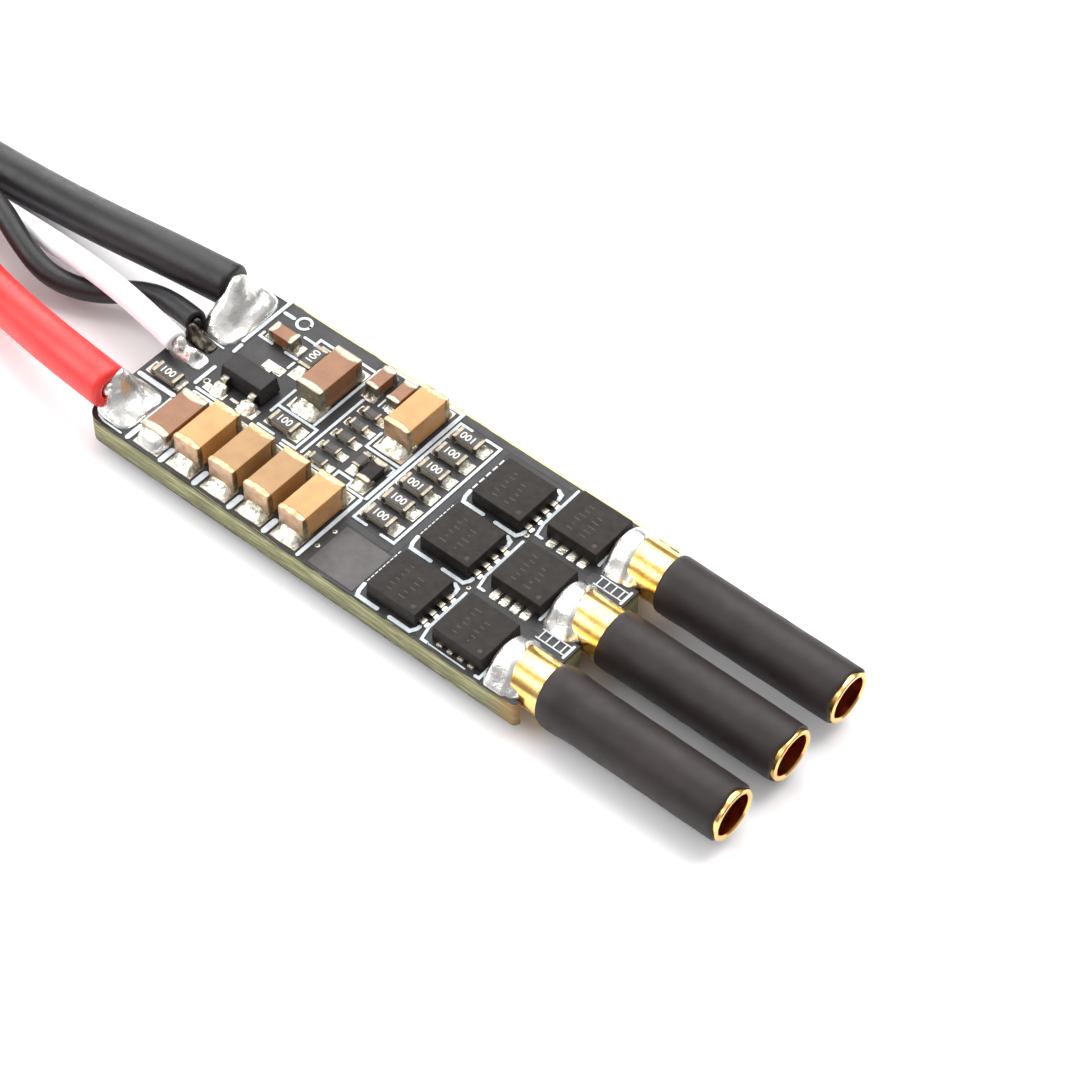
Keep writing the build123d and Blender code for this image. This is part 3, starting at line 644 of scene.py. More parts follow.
def make_ink():
    """White printed frames and bars round the parts: each has its width, then x and y by turns."""
    hair, thin, line, bold = 0.06, 0.1, 0.16, 0.22
    prints = [
        (bold, 0.3, 12.2, 0.75, 12.38, 2.72, 12.38, 2.72, 8.8), (bold, 2.83, 8.5, 2.86, 7.95),
        (bold, 2.86, 6.5, 2.86, 5.1), (thin, 0.55, 7.74, 2.3, 7.74), (0.28, 0.25, 3.72, 2.6, 3.72),
        (thin, 2.68, 3.5, 2.68, 1.35), (thin, 0.14, 1.05, 0.32, 0.7, 0.7, 0.34, 1.15, 0.2, 2.4, 0.18),
        (line, 3.15, 4.88, 4.6, 4.88), (thin, 3.2, 4.45, 3.2, 4.62, 4.3, 4.62),
        (bold, 3.0, 11.65, 3.62, 11.65), (line, 3.1, 9.95, 3.1, 9.62, 3.95, 9.62),
        (line, 4.9, 9.62, 5.68, 9.62), (line, 4.95, 11.02, 5.6, 11.02), (line, 5.74, 9.35, 5.74, 8.9),
        (line, 5.72, 10.95, 5.72, 11.42, 6.6, 11.42),
        (line, 8.35, 11.58, 9.42, 11.58, 9.42, 6.88), (line, 7.1, 6.72, 9.75, 6.72, 9.75, 5.12, 8.9, 5.12),
        (line, 7.2, 5.12, 8.25, 5.12), (line, 7.08, 6.2, 7.08, 8.0), (line, 10.14, 5.15, 10.14, 9.75),
        (line, 9.42, 11.75, 9.6, 12.3, 11.55, 12.3), (thin, 11.0, 9.95, 11.0, 10.75),
        (bold, 13.8, 12.3, 14.66, 12.3, 14.66, 4.98), (line, 12.35, 8.7, 12.35, 7.55, 14.5, 7.55),
        (line, 15.7, 11.78, 14.96, 11.78, 14.96, 3.72, 15.8, 3.72),
        (line, 16.65, 11.78, 17.6, 11.78, 17.6, 3.72, 16.75, 3.72),
        (line, 12.42, 4.98, 12.42, 5.42, 13.38, 5.42, 13.38, 4.98),
        (thin, 14.0, 7.28, 14.48, 7.28, 14.48, 6.75),
        (line, 11.05, 4.86, 11.6, 4.86), (line, 13.5, 4.86, 14.5, 4.86), (line, 8.95, 4.88, 9.3, 4.88),
        (bold, 14.5, 0.15, 14.5, 4.7), (line, 26.05, 10.2, 26.1, 9.2), (line, 26.1, 6.0, 26.1, 4.75),
        (line, 26.14, 1.8, 26.18, 0.16, 25.95, 0.14), (0.07, 22.95, 0.15, 25.3, 0.13),
    ]
    for y in (4.12, 8.46):
        prints += [(hair, 26.6, y + side * 0.3, 28.3, y + side * 0.3) for side in (-1, 1)]
        prints += [(0.07, x, y - 0.28, x, y + 0.28) for x in (26.75, 27.2, 27.65, 28.1)]
        prints.append((0.15, 28.42, y - 0.42, 28.42, y + 0.42))
    prints += [(0.34, x, 0.2, x, 0.98) for x in (5.18, 7.5, 9.88, 12.23)]
    prints.append((0.3, 2.85, 0.22, 2.85, 1.15))
    for foot, row in ((7.97, 0), (4.05, 1), (0.15, 2)):
        head = 3.62 + (2 - row) * 3.92
        prints += [
            (bold, 18.22, foot + 0.75, 18.28, foot + 0.3, 18.42, foot, 19.7, foot),
            (bold, 20.5, foot, 21.8, foot, 21.98, foot + 0.3, 22.0, foot + 0.5),
            (bold, 21.55, head + 0.12, 21.86, head - 0.02, 21.93, head - 0.35),
        ]
        width, dashes = (hair, 9) if row else (thin, 5)
        step = (head - foot - 0.95) / dashes
        for k in range(dashes):
            y = foot + 1.0 + k * step
            prints.append((width, 18.2, y, 18.2, y + step * 0.55))
    for foot, rise in ((8.68, 3.5), (4.33, 3.6), (0.16, 3.5)):
        prints.append((line, 22.33, foot + rise, 22.36, foot + 0.75, 22.55, foot, 22.9, foot))
    shape = Shape()
    for k, (width, *flat) in enumerate(prints):
        shape.strip(zip(flat[::2], flat[1::2]), width, INK_TOP + INK_STEP * (k % 3))
    angles = [pi / 12 * k for k in range(25)]
    shape.strip([(4.28 + 0.4 * cos(a), 11.72 + 0.4 * sin(a)) for a in angles], line, 0.047)
    shape.make("silkscreen", INK, sharp=30)


def make_pads():
    """Tinned pads that show beside the solder, and plated holes."""
    pads = [(x0, y - GATE_PAD, x1, y + GATE_PAD) for x0, x1 in ((15.02, 15.6), (16.75, 17.42)) for y in GATE_YS]
    pads += [(x - 0.86, 0.18, x + 0.86, 1.3) for x in BULK_XS]
    pads += [(x - 0.84, 3.7, x + 0.84, 4.72) for x in BULK_XS]
    ends = ((10.36, 10.9), (11.55, 12.2))
    pads += [(x0, y - DIVIDER_PAD, x1, y + DIVIDER_PAD) for x0, x1 in ends for y in DIVIDER_YS]
    pads += [
        (7.4, 6.95, 9.3, 7.75), (7.5, 10.6, 9.3, 11.3), (12.55, 7.75, 14.5, 8.7), (12.7, 11.5, 14.35, 12.15),
        (3.3, 5.05, 4.75, 5.55), (5.6, 5.05, 6.8, 5.8), (4.55, 8.12, 5.85, 8.74), (4.95, 5.36, 5.6, 5.56),
        (0.3, 4.05, 0.95, 4.9), (2.15, 4.05, 2.62, 4.9), (7.25, 5.4, 7.8, 6.4), (8.9, 5.4, 9.6, 6.4),
        (6.0, 8.5, 6.9, 9.4), (6.05, 10.65, 6.9, 11.2), (3.3, 9.75, 3.8, 10.5), (5.05, 9.75, 5.62, 10.55),
        (9.8, 9.9, 10.72, 10.4), (11.2, 9.95, 12.1, 10.4), (13.35, 5.0, 14.4, 5.75), (12.6, 5.62, 13.2, 6.2),
        (12.6, 6.95, 13.2, 7.35), (13.4, 6.95, 13.95, 7.35),
    ]
    shape = Shape()
    shape.plates(pads, 0.04, 0.02)
    holes = (
        (3.22, 5.55, 0.2), (26.45, 10.35, 0.16), (26.5, 9.95, 0.14), (14.9, 2.4, 0.14), (14.85, 1.2, 0.14),
        (10.0, 4.2, 0.12), (22.2, 8.35, 0.14), (22.2, 4.0, 0.13), (5.35, 7.6, 0.12),
    )
    for x, y, r in holes:
        rim = [(SUNK, r), (0.035, r), (0.045, r - 0.02), (0.045, r - 0.08), (0.0, r - 0.1), (-0.02, r - 0.1)]
        turned(shape, on_board(x, y), (0, 0, 1), rim, around=20)
    shape.make("pads", PAD)


BULK_XS = middles("bulk_capacitor", 5, 0)
GATE_YS = middles("gate_resistor", 6, 1)
DIVIDER_X, DIVIDER_YS, DIVIDER_SIDE = 11.24, [9.22 - row for row in range(5)], (12.91, 6.58)

dress("circuit_board", BOARD)
make_pours()
make_ink()
make_pads()


# -------- chips
def rounded_section(half_w, low, high, corner, side_steps=6, corner_steps=4):
    """A rounded rectangle as (across, up, place along its side from -1 to 1) points."""
    arcs = corner_arcs(half_w, low, high, corner, corner_steps)
    points = []
    for arc, after in zip(arcs, arcs[1:] + arcs[:1]):
        points += [(y + corner * cos(a), z + corner * sin(a), 1.0) for y, z, a in arc]
        (cy, cz, a), (ny, nz) = arc[-1], after[0][:2]
        for step in range(1, side_steps):
            t = step / side_steps
            y = cy + (ny - cy) * t + corner * cos(a)
            z = cz + (nz - cz) * t + corner * sin(a)
            points.append((y, z, 2 * t - 1))
    return points


def chip_frame(node_or_box):
    """A chip's middle at its foot, its length axis, its width axis and its sizes."""
    low, high = node_box(node_or_box) if isinstance(node_or_box, str) else node_or_box
    size = high - low
    middle = Vector(((low.x + high.x) / 2, (low.y + high.y) / 2, low.z))
    if size.x > size.y:
        return middle, Vector((1, 0, 0)), Vector((0, 1, 0)), size.x, size.y, size.z
    return middle, Vector((0, 1, 0)), Vector((-1, 0, 0)), size.y, size.x, size.z


def add_terminal(shape, place, sign, band, bulge, corner, tags, seed):
    """A dipped metal end: its edge bows over each face, its corners are round."""
    middle, along, across, length, width, height = place
    end = length / 2

    def ring(inset, at_point):
        return [
            middle + along * (sign * at_point(y, z, s)) + across * y + UP * z
            for y, z, s in rounded_section(width / 2 - inset, inset, height - inset, max(corner, 0.02))
        ]

    def edge(y, z, s):
        wave = 0.05 * band * wobble(y * 3 + seed, z * 3, seed, 0.8)
        return end - band * (1 - bulge) - band * bulge * (1 - s * s) + wave

    rings = [
        ring(inset, lambda y, z, s, back=back: edge(y, z, s) + back)
        for inset, back in ((0.035, 0.0), (0.005, 0.05), (0.0, 0.12))
    ]
    rings.append(ring(0.0, lambda y, z, s: end - corner * 1.6))
    for a in (0.5, 0.9, 1.3, 1.57):
        rings.append(ring(corner * (1 - cos(a)) * 0.9, lambda y, z, s, a=a: end - corner * (1 - sin(a))))
    shape.loft(rings, tags[0], first=False, last=False)
    # The flat end face takes the second tag; on the tan chips its paint is a painted reflection, a lighter copy
    # of the terminal metal.
    inner = [ring(corner * 0.9, lambda y, z, s: end), ring(corner * 0.9 + 0.12, lambda y, z, s: end + 0.004)]
    shape.loft(inner, tags[1], first=False)


def make_capacitor(node, paints, slot, band):
    """A ceramic chip: its body and two dipped ends, whose end faces take the third paint; on the tan chips that
    is a lighter, pinker copy of the ends' metal, a painted reflection.
    """
    place = chip_frame(node)
    middle, along, across, length, width, height = place
    shape = Shape()
    corner = 0.07 if length > 2 else 0.05
    section = rounded_section(width / 2 - 0.035, 0.035, height - 0.035, corner * 0.6)
    rings = [
        [middle + along * (at * (length / 2 - 0.12)) + across * y + UP * z for y, z, s in section]
        for at in (-1, -0.5, 0, 0.5, 1)
    ]
    shape.loft(rings)
    seed = rng.uniform(0, 50)
    for sign in (-1, 1):
        add_terminal(shape, place, sign, band, 0.22, corner, (1, 2), seed + sign)
    shape.make(node + "_chip", paints, [node], sharp=50)


BROWN_CHIP = [BROWN, TIN, TIN], "ceramic_brown"
# The tan chips' third paint is the end faces' painted reflection, a lighter copy of the terminal metal.
TAN_CHIP = [TAN, CREAM, END_FACE_PAINTED_REFLECTION], "ceramic_tan"
DULL_CHIP = [TAN_DULL, CREAM, END_FACE_PAINTED_REFLECTION], "ceramic_tan"
for node, looks, band in (
    ("bulk_capacitor_1", BROWN_CHIP, 0.5),
    ("bulk_capacitor_2", TAN_CHIP, 0.4),
    ("bulk_capacitor_3", DULL_CHIP, 0.4),
    ("bulk_capacitor_4", DULL_CHIP, 0.42),
    ("bulk_capacitor_5", TAN_CHIP, 0.4),
    ("regulator_capacitor", BROWN_CHIP, 0.48),
    ("driver_capacitor", TAN_CHIP, 0.4),
    *[(f"bypass_capacitor_{number}", BROWN_CHIP, 0.34) for number in (1, 2, 3)],
):
    make_capacitor(node, *looks, band)


def add_number(shape, text, middle, along, across, size, tag):
    """A printed number, centred on a face, reading along a direction."""
    curve = bpy.data.curves.new("number", "FONT")
    curve.body = text
    curve.size = size
    curve.extrude = 0.006
    curve.offset = 0.012 * size
    curve.resolution_u = 3
    curve.align_x, curve.align_y = "CENTER", "CENTER"
    holder = bpy.data.objects.new("number", curve)
    mesh = bpy.data.meshes.new_from_object(holder)
    verts = [middle + along * v.co.x + across * v.co.y + UP * v.co.z for v in mesh.vertices]
    shape.add(verts, [list(p.vertices) for p in mesh.polygons], tag)
    bpy.data.objects.remove(holder)
    bpy.data.curves.remove(curve)
    bpy.data.meshes.remove(mesh)


def make_resistor(name, place, nodes, text="", band=0.26):
    """A thick-film resistor: a pale ceramic slab, a black glaze, two tinned ends and a number."""
    middle, along, across, length, width, height = place
    shape = Shape()
    slab = (0.1, 0.03, 0.02, height - 0.05, 0.02)
    glaze = (band * 0.85, 0.05, height - 0.07, height, 0.025)
    for tag, (end_inset, side_inset, foot, top, bevel) in enumerate((slab, glaze)):
        a, b = length / 2 - end_inset, width / 2 - side_inset
        ends = [middle + along * (s * a) + across * (s * b) + UP * z for s, z in ((-1, foot), (1, top))]
        shape.block(Vector(map(min, *ends)), Vector(map(max, *ends)), bevel, tag)
    for sign in (-1, 1):
        add_terminal(shape, place, sign, band, 0.06, 0.035, (2, 2), rng.uniform(0, 50))
    if text:
        add_number(shape, text, middle + UP * (height + 0.004), along, across, 0.62, 3)
    shape.make(name, [ALUMINA, GLAZE, RESISTOR_END, CODE_INK], nodes, sharp=45)


def half_turned(place):
    """The same chip turned half round, so that its number reads the other way."""
    middle, along, across, *sizes = place
    return (middle, -along, -across, *sizes)


def small_chip(x, y, half_x, half_y):
    return chip_frame((on_board(x - half_x, y - half_y), on_board(x + half_x, y + half_y, 0.35)))


for number in range(1, 7):
    node = f"gate_resistor_{number}"
    place = chip_frame(node)
    make_resistor(node + "_chip", half_turned(place) if number in (1, 4) else place, [node], "100")
for node in ("signal_resistor", "regulator_resistor", "filter_resistor"):
    make_resistor(node + "_chip", chip_frame(node), [node], "100")
dividers = [small_chip(DIVIDER_X, y, 0.5, 0.25) for y in DIVIDER_YS] + [small_chip(*DIVIDER_SIDE, 0.25, 0.5)]
for row, place in enumerate(dividers):
    make_resistor(f"divider_resistor_{row + 1}", place, ["divider_resistors"], band=0.2)
make_capacitor("thermistor", [MOULD, TIN, TIN], "package", 0.34)


# -------- transistors and regulator
def make_transistor(node, leads_along_x, seed, drawn_in=0.0):
    """A flat power package: moulded body, four flat leads, a tab, a dot and faint marks."""
    low, high = node_box(node)
    foot, metal_top = low.z + 0.02, low.z + 0.2
    shape = Shape()
    if leads_along_x:
        body_low, body_high = (low.x + 0.15, low.y, foot), (high.x - 0.28, high.y, high.z)
        tab = (low.x, low.y + 0.4, foot), (low.x + 0.3, high.y - 0.4, metal_top)
    else:
        body_low, body_high = (low.x, low.y + 0.28, foot), (high.x, high.y - 0.15, high.z)
        tab = (low.x + 0.4, high.y - 0.3, foot), (high.x - 0.4, high.y, metal_top)
    shape.block(body_low, body_high, 0.07, taper=0.03, segments=3)
    middle = Vector([(a + b) / 2 for a, b in zip(body_low, body_high)])
    for k in range(4):
        shift = (k - 1.5) * LEAD_PITCH
        if leads_along_x:
            lead_low = (body_high[0] - 0.2, middle.y + shift - LEAD_HALF_WIDTH, foot)
            lead_high = (high.x, middle.y + shift + LEAD_HALF_WIDTH, metal_top)
        else:
            lead_low = (middle.x + shift - LEAD_HALF_WIDTH, low.y + drawn_in, foot)
            lead_high = (middle.x + shift + LEAD_HALF_WIDTH, body_low[1] + 0.2, low.z + 0.1)
        shape.block(lead_low, lead_high, 0.02, 1)
    shape.block(*tab, 0.02, 1)
    marks = random.Random(seed)
    face = high.z
    for row, count in ((0, 6), (1, 5)):
        for k in range(count):
            x = body_low[0] + 0.75 + row * 0.85
            y = body_low[1] + 0.5 + k * 0.34
            start, end = marks.uniform(0.0, 0.2), marks.uniform(0.3, 0.52)
            shape.block((x + start, y, face - 0.02), (x + end, y + 0.09, face + 0.004), 0.003, 2, segments=1)
    dot = [(-0.02, 0.13), (0.003, 0.13), (0.004, 0.125), (0.004, 0.0)]
    turned(shape, (body_high[0] - 0.45, body_low[1] + 0.42, face), (0, 0, 1), dot, 2, around=20, last=False)
    shape.make(node + "_package", [MOULD, PAD, ETCH], [node], sharp=35)


for count, letter in enumerate("abc"):
    make_transistor(f"high_side_transistor_{letter}", True, count)
    make_transistor(f"low_side_transistor_{letter}", False, count + 10, 0.13 if letter == "a" else 0.0)


def add_bent_lead(shape, x, y, side, tag):
    """A gull-wing lead: out of the body, down and along the pad."""
    path = [(0.0, 0.55), (0.22, 0.55), (0.32, 0.5), (0.42, 0.2), (0.5, 0.1), (0.62, 0.08), (0.8, 0.08)]
    section = [(-0.2, -0.05), (-0.17, -0.07), (0.17, -0.07), (0.2, -0.05),
               (0.2, 0.05), (0.17, 0.07), (-0.17, 0.07), (-0.2, 0.05)]
    rings = []
    for (out, rise), before, after in zip(path, path[:1] + path, path[1:] + path[-1:]):
        way = Vector((after[0] - before[0], after[1] - before[1])).normalized()
        ring = [(x + w, y + side * (out - way.y * t), TOP + rise + way.x * t) for w, t in section]
        rings.append(ring)
    shape.loft(rings, tag)


def make_regulator():
    low, high = node_box("voltage_regulator")
    shape = Shape()
    middle_x, middle_y = (low.x + high.x) / 2, (low.y + high.y) / 2
    body = (low.x, middle_y - 0.7, low.z + 0.1), (high.x, middle_y + 0.7, high.z)
    shape.block(*body, 0.06, taper=0.1, segments=3)
    for x, side in ((-0.95, -1), (0.95, -1), (0.0, 1)):
        add_bent_lead(shape, middle_x + x, middle_y + side * 0.6, side, 1)
    shape.make("regulator_package", [REG_MOULD, PAD], ["voltage_regulator"], sharp=35)


make_regulator()


# -------- solder
def add_end_solder(shape, x, y, way, half_width, reach, height, power=4.0, seed=0.0):
    """A fillet at a chip's end: tall at the chip, thin at its outer edge, a little uneven."""
    centre = on_board(x, y)
    along_x = abs(way[0]) > 0.5

    def rise(px, py, rho):
        out = max(0.0, ((px - centre.x) * way[0] + (py - centre.y) * way[1]) / reach)
        side = ((py - centre.y) if along_x else (px - centre.x)) / half_width
        body = height * (1 - min(1.0, out)) ** 1.8 * (1 - 0.4 * abs(side) ** 3)
        lump = 0.14 * height * wobble(px, py, seed, 0.5)
        return ON_SOLDER + max(0.0, body + lump) * (1 - rho**6)

    half = (reach, half_width) if along_x else (half_width, reach)
    shape.mound(centre, *half, rise, power, 12, 40)


EAST, WEST, NORTH, SOUTH = (1, 0), (-1, 0), (0, 1), (0, -1)


def make_chip_solder():
    """Fillets at the ends of the chips and at the regulator's leads."""
    shape = Shape()
    for k, x in enumerate(BULK_XS):
        if k:
            add_end_solder(shape, x, 0.98, SOUTH, 0.86, 0.8, 0.55, 6.0, k)
        add_end_solder(shape, x, 4.0, NORTH, 0.8, 0.7, 0.6, seed=k + 10)
    for x, y in ((8.42, 9.17), (13.5, 10.09)):
        add_end_solder(shape, x, y - 1.5, SOUTH, 0.9, 0.8, 0.55, 6.0, x)
        add_end_solder(shape, x, y + 1.5, NORTH, 0.82, 0.55, 0.6, seed=y)
    for k, y in enumerate(GATE_YS):
        add_end_solder(shape, 16.86, y, EAST, 0.42, 0.54, 0.36, seed=k)
        add_end_solder(shape, 15.36, y, WEST, 0.42, 0.34, 0.34, seed=k + 5)
    for k, y in enumerate(DIVIDER_YS):
        add_end_solder(shape, 11.66, y, EAST, 0.26, 0.52, 0.28, seed=k)
        add_end_solder(shape, 10.82, y, WEST, 0.26, 0.42, 0.28, seed=k + 5)
    others = [
        (4.98, 10.12, EAST, 0.42, 0.62, 0.5), (3.72, 10.12, WEST, 0.42, 0.42, 0.5),
        (10.26, 10.36, SOUTH, 0.46, 0.52, 0.5), (10.26, 11.72, NORTH, 0.42, 0.4, 0.4),
        (11.7, 10.33, SOUTH, 0.46, 0.45, 0.5), (11.7, 11.7, NORTH, 0.42, 0.4, 0.4),
        (2.26, 4.47, EAST, 0.42, 0.36, 0.34), (0.86, 4.47, WEST, 0.42, 0.5, 0.34),
        (8.98, 5.89, EAST, 0.45, 0.58, 0.36), (7.62, 5.89, WEST, 0.45, 0.4, 0.34),
        (6.45, 9.32, SOUTH, 0.42, 0.78, 0.32), (6.45, 10.76, NORTH, 0.42, 0.4, 0.34),
        (13.88, 5.58, SOUTH, 0.5, 0.6, 0.4), (13.88, 7.0, NORTH, 0.42, 0.4, 0.35),
        (12.91, 6.16, SOUTH, 0.3, 0.56, 0.28), (12.91, 7.0, NORTH, 0.28, 0.36, 0.28),
        (4.15, 5.5, SOUTH, 0.5, 0.5, 0.34), (6.05, 5.5, SOUTH, 0.55, 0.5, 0.36),
        (5.2, 8.43, NORTH, 0.6, 0.28, 0.05),
    ]
    for k, joint in enumerate(others):
        add_end_solder(shape, *joint, 3.2, k * 1.7)
    shape.make("component_solder_joints", JOINT, ["component_solder"], sharp=60)


def make_reworked_joint():
    """The big rounded joint at the near end of the first capacitor."""
    shape = Shape()
    cap_end = on_board(BULK_XS[0], 1.3)

    def rise(px, py, rho):
        out = max(0.0, (cap_end.y - py) / 1.14)
        side = (px - cap_end.x) / 0.9
        body = 0.72 * (1 - min(1.0, out) ** 3.0) * (1 - 0.3 * abs(side) ** 3)
        return 0.05 + max(0.0, body + 0.07 * wobble(px, py, 3.0, 0.6)) * (1 - rho**8) ** 0.7

    shape.mound(cap_end, 0.9, 1.14, rise, 3.4, 20, 56)
    shape.make("reworked_capacitor_joint", SOLDER, sharp=60)


def make_lead_solder():
    """Solder beads at the transistors' leads, with half widths and reaches along the low side."""
    shape = Shape()
    for letter, half_width, reach in (("a", 0.19, 0.21), ("b", 0.25, 0.64), ("c", 0.25, 0.56)):
        low, high = node_box(f"high_side_transistor_{letter}")
        middle = (low.y + high.y) / 2 - BOARD_LOW.y
        for k in range(4):
            y = middle + (k - 1.5) * LEAD_PITCH + rng.uniform(-0.03, 0.03)
            add_end_solder(shape, high.x - BOARD_LOW.x - 0.1, y, EAST, 0.18, 0.3, 0.06, 6.0, k)
        low, high = node_box(f"low_side_transistor_{letter}")
        middle = (low.x + high.x) / 2 - BOARD_LOW.x
        for k in range(4):
            x = middle + (k - 1.5) * LEAD_PITCH + rng.uniform(-0.03, 0.03)
            add_end_solder(shape, x, low.y - BOARD_LOW.y + 0.3, SOUTH, half_width, reach, 0.02, 9.0, k)
    shape.make("transistor_solder", JOINT, sharp=60)


def make_wire_joint(wire, centre, half, bumps, route, diameter, reach, floor_height, seed, paint=SOLDER):
    """A solder joint on a wire: a wrinkled mound with the tinned conductor running into it."""
    shape = Shape()

    def rise(px, py, rho):
        x, y = px - BOARD_LOW.x, py - BOARD_LOW.y
        z = floor_height * (1.5 - 0.4 * x)
        for bx, by, sx, sy, h in bumps:
            z += h * exp(-((((x - bx) / sx) ** 2 + ((y - by) / sy) ** 2) ** 1.5))
        z += 0.07 * wobble(px, py, seed, 0.6) + 0.05 * (0.5 - abs(wobble(px, py, seed + 5, 0.5)))
        return 0.03 + max(0.05, z) * max(0.0, 1 - rho**9) ** 0.55

    shape.mound(on_board(*centre), *half, rise, 4.0, 34, 96)
    start = Vector(route[0])
    way = (start - Vector(route[1])).normalized() + Vector((0, 0, -0.25))
    r = diameter * 0.2
    profile = [(-0.3, r), (0.3 * reach, r * 0.98), (0.7 * reach, r * 0.9)]
    profile += [(reach, r * 0.5), (reach * 1.1, r * 0.1)]

    def strands(t, a):
        return 0.02 * r * cos(9 * a + 3 * t)

    turned(shape, start, way, profile, ripple=strands, around=54)
    shape.make(f"{wire}_joint", paint, [f"{wire}_solder"], sharp=70)


def make_socket_solder(letter, slant, seed):
    """Solder over a socket's tail and down both its sides to the board."""
    low, high, axis_y, axis_z, radius = round_part(f"motor_socket_{letter}")
    rings = []
    steps, around = 34, 49
    first, last = low.x - 0.3, BOARD_HIGH.x - 0.08
    for i in range(steps + 1):
        x = first + (last - first) * i / steps
        t = x - low.x
        dome = sqrt(max(0.0, 1 - (1 - min(1.0, (t + 0.3) / 0.5)) ** 2)) * 0.55 + 0.45
        ring = []
        for j in range(around):
            a = radians(-86 + 172 * j / (around - 1))
            front = 0.8 + slant * -sin(a) + 0.1 * wobble(a * 2, seed, 0, 0.8)
            cover = 0.1 + 0.025 * wobble(t, a * 1.4, seed, 0.7)
            cover -= (cover + 0.05) * smooth((t - front) / 0.3)
            foot = max(0.0, (abs(degrees(a)) - 50) / 36) ** 2.6 * 0.34
            foot *= 1 - 0.9 * smooth((t - 1.45) / 0.6)
            reach = (radius + cover + foot) * dome
            z = max(axis_z + reach * cos(a) * (0.6 + 0.4 * dome), TOP + (-0.02 if abs(a) > 1.45 else 0.02))
            ring.append(Vector((x, axis_y + reach * sin(a), z)))
        ring[0].z = ring[-1].z = TOP - 0.03
        rings.append(ring)
    shape = Shape()
    shape.loft(rings)
    shape.make(f"socket_solder_{letter}_joint", SOLDER, [f"socket_solder_{letter}"], sharp=70)


def make_flux():
    """Thin brown flux film left beside the sockets."""
    shape = Shape()
    spots = [
        (26.62, 9.55, 0.42, 0.4), (27.6, 9.42, 0.75, 0.34), (26.55, 4.95, 0.38, 0.32),
        (27.5, 4.9, 0.7, 0.26), (26.5, 1.0, 0.3, 0.5), (27.0, 0.24, 0.5, 0.16), (0.45, 7.9, 0.35, 0.22),
    ]
    for k, (x, y, half_x, half_y) in enumerate(spots):
        def rise(px, py, rho, k=k):
            return 0.055 + 0.05 * (1 - rho) + 0.03 * wobble(px, py, k, 0.3)

        shape.mound(on_board(x, y), half_x, half_y, rise, 2.2, 8, 32)
    shape.make("flux_film", FLUX, sharp=60)


make_chip_solder()
make_reworked_joint()
make_lead_solder()
make_wire_joint(
    "battery_negative", (1.36, 10.0), (1.24, 2.15),
    [(0.6, 10.6, 0.9, 1.0, 0.85), (0.95, 9.8, 0.85, 1.25, 0.55), (1.1, 8.8, 0.85, 0.9, 0.35),
     (1.25, 10.8, 1.4, 1.7, 0.65)], BLACK_ROUTE, POWER, 0.5, 0.2, 2.0,
)
make_wire_joint(
    "battery_positive", (1.38, 1.85), (1.22, 1.56),
    [(0.6, 1.9, 0.75, 0.95, 1.3), (1.15, 1.75, 1.15, 1.25, 0.6)], RED_ROUTE, POWER, 0.4, 0.18, 9.0,
)
make_wire_joint(
    "signal", (1.32, 6.22), (1.12, 0.55),
    [(0.75, 6.2, 0.45, 0.45, 0.85), (1.6, 6.25, 0.4, 0.4, 0.5)], WHITE_ROUTE, SIGNAL, 0.7, 0.15, 4.0,
)
make_wire_joint(
    "signal_ground", (1.1, 7.32), (0.95, 0.42),
    [(0.5, 7.35, 0.5, 0.35, 0.75), (1.3, 7.3, 0.4, 0.3, 0.3)], GROUND_ROUTE, SIGNAL, 0.3, 0.12, 6.0, BURNT,
)
make_socket_solder("a", 0.3, 1.0)
make_socket_solder("b", 0.42, 2.0)
make_socket_solder("c", 0.2, 3.0)
make_flux()


# -------- sockets and sleeves
def make_sleeve(letter, bulge, lean, seed):
    """A shrunk sleeve: thin, slightly uneven, fuller where it starts and drawn in at its ends."""
    low, high, axis_y, axis_z, radius = round_part(f"heat_shrink_{letter}")
    length = high.x - low.x
    shape = Shape()
    inner = radius - 0.14
    profile = [(0.5, inner), (0.03, inner), (0.0, inner + 0.03), (0.0, radius - 0.06), (0.04, radius - 0.02)]
    for k in range(1, 60):
        t = 0.04 + (length - 0.14) * k / 60
        full, slim = bulge * exp(-(((t - 0.75) / 0.75) ** 2)), 0.015 * exp(-((t - length) / 0.6) ** 2)
        profile.append((t, radius + full - slim))
    profile += [(length - 0.08, radius - 0.02), (length - 0.02, radius - 0.05)]
    profile += [(length, radius - 0.09), (length, inner)]

    def uneven(t, a):
        grain = (0.014 + 0.03 * exp(-t / 1.2)) * wobble(t, 1.6 * cos(a), 1.6 * sin(a) + seed, 1.3)
        return (grain + 0.006 * wobble(t * 2, 3 * cos(a), 3 * sin(a) + seed, 0.5)) * smooth(t / 0.3)

    start = (low.x, axis_y, axis_z)
    turned(shape, start, (1, 0, 0), profile, ripple=uneven, around=72, first=False, last=False)
    for v in shape.verts:
        near_start = 1 - smooth((v.x - low.x) / 1.6)
        angle = atan2(v.y - axis_y, v.z - axis_z)
        v.x += lean * near_start * cos(angle + seed)
        near_end = smooth((v.x - high.x + 0.7) / 0.7)
        v.x += near_end * (0.05 * cos(angle * 5 + seed) + 0.05 * cos(angle * 2 - seed))
    shape.make(f"heat_shrink_{letter}_sleeve", SLEEVE, [f"heat_shrink_{letter}"], sharp=50)


make_sleeve("a", 0.08, 0.16, 2.6)
make_sleeve("b", 0.02, 0.05, 0.4)
make_sleeve("c", 0.03, 0.08, 2.0)
for letter in "abc":
    dress(f"motor_socket_{letter}", GOLD)


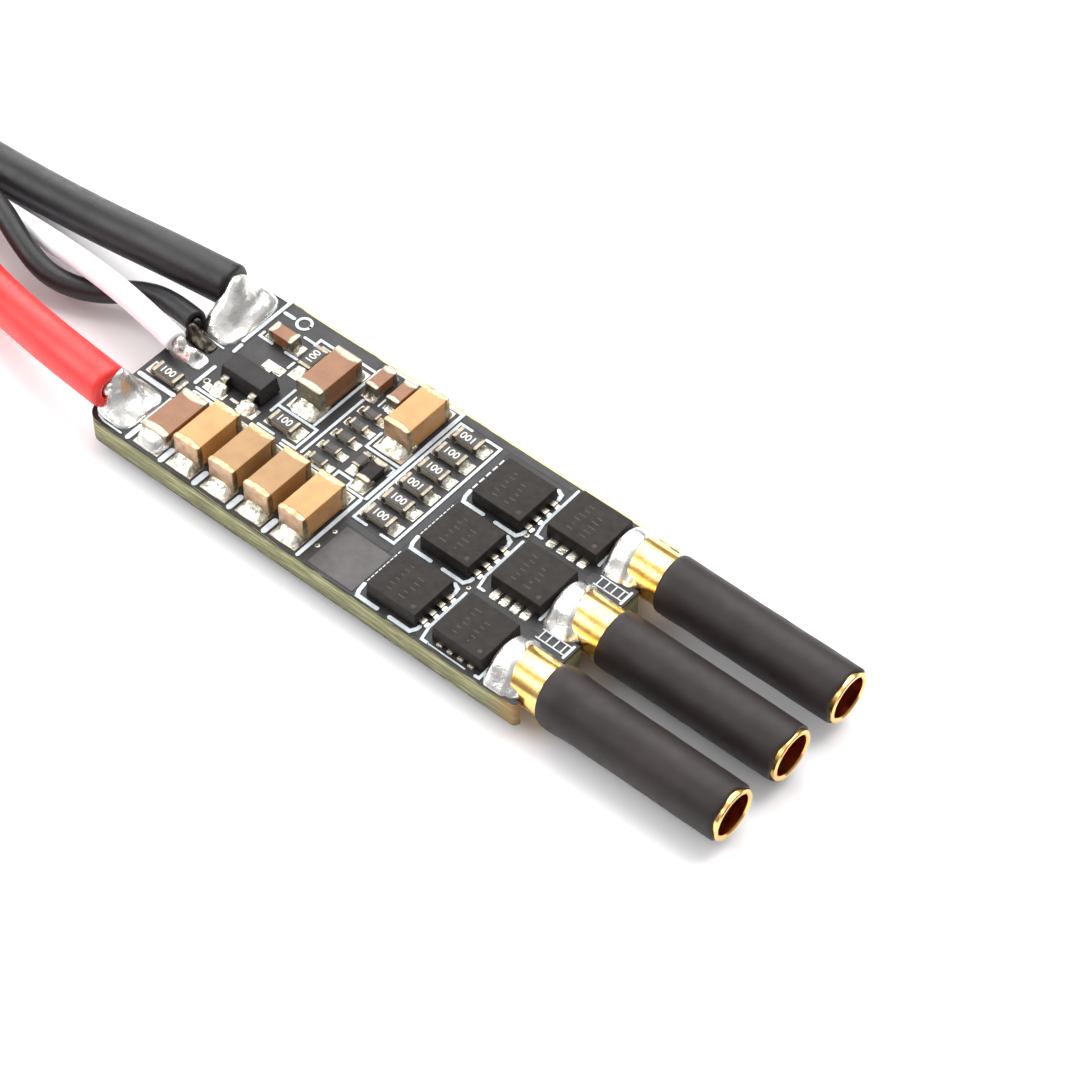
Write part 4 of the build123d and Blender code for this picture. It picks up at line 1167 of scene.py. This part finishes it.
# -------- under the board
def make_underside():
    """Pads and plated holes that only show from below."""
    under = BOARD_LOW.z
    shape = Shape()
    for node, pins in (("microcontroller", 5), ("gate_driver", 6)):
        low, high = node_box(node)
        middle, half = (low + high) / 2, (high.x - low.x) / 2
        pitch = 2 * half * 0.8 / pins
        for k in range(pins):
            shift = (k - (pins - 1) / 2) * pitch
            for out in (-half - 0.1, half + 0.1):
                for x, y, hx, hy in ((out, shift, 0.16, 0.11), (shift, out, 0.11, 0.16)):
                    px, py = middle.x + x, middle.y + y
                    shape.block((px - hx, py - hy, under - 0.07), (px + hx, py + hy, under + 0.02), 0.02)
    hole = [(SUNK, 0.2), (0.03, 0.2), (0.04, 0.18), (0.04, 0.1), (0.0, 0.08)]
    for k in range(14):
        for y in (1.1, 11.4):
            place = (BOARD_LOW.x + 3.0 + 1.75 * k, BOARD_LOW.y + y, under)
            turned(shape, place, (0, 0, -1), hole, around=18)
    shape.make("underside_pads", PAD)
    for node in ("microcontroller", "gate_driver"):
        dress(node, CHIP_UNDER)
    dress("bootstrap_capacitors", BROWN)


make_underside()


# -------- floor and light
def make_floor():
    mesh = bpy.data.meshes.new("floor")
    half = 1.5
    corners = [(-half, -half, 0), (half, -half, 0), (half, half, 0), (-half, half, 0)]
    mesh.from_pydata(corners, [], [(0, 1, 2, 3)])
    paint = Paint("floor", Specular_IOR_Level=0.3)
    colour = paint.ramp(paint.noise(60, 2.0), (0.3, (0.90, 0.895, 0.905, 1)), (0.7, (0.92, 0.915, 0.925, 1)))
    gloss = paint.span(paint.noise(20, 2.0), 0.3, 0.7, 0.55, 0.65)
    mesh.materials.append(paint.finish(colour, gloss, paint.noise(0.3, 2.0), 0.004))
    add_object("floor", mesh)


def make_light(name, place, target, width, height, power):
    data = bpy.data.lights.new(name, "AREA")
    data.shape = "RECTANGLE"
    data.size, data.size_y = width, height
    data.energy = power
    light = add_object(name, data)
    light.location = place
    light.rotation_euler = (Vector(target) - Vector(place)).to_track_quat("-Z", "Y").to_euler()


def make_world():
    """A studio that is bright overhead and darker towards the walls."""
    world = bpy.data.worlds.new("studio")
    bpy.context.scene.world = world
    world.use_nodes = True
    nodes, links = world.node_tree.nodes, world.node_tree.links
    place, split, ramp = [nodes.new("ShaderNode" + kind) for kind in ("TexCoord", "SeparateXYZ", "ValToRGB")]
    set_stops(ramp, ((0.0, (0.26, 0.26, 0.27, 1)), (0.35, (0.45, 0.45, 0.46, 1)), (0.75, (1.0, 1.0, 1.0, 1))))
    links.new(place.outputs["Generated"], split.inputs["Vector"])
    links.new(split.outputs["Z"], ramp.inputs["Fac"])
    links.new(ramp.outputs["Color"], nodes["Background"].inputs["Color"])
    nodes["Background"].inputs["Strength"].default_value = 0.8


make_floor()
make_light("key", (-0.10, 0.28, 0.50), (0, 0, 0), 0.85, 0.62, 6.0)
make_light("side", (-0.42, -0.30, 0.36), (0, 0, 0), 0.5, 0.4, 2.7)
make_light("low", (-0.62, 0.42, 0.16), (0, 0, 0.01), 0.5, 0.22, 1.5)
make_world()
bpy.context.scene.view_settings.view_transform = "Standard"
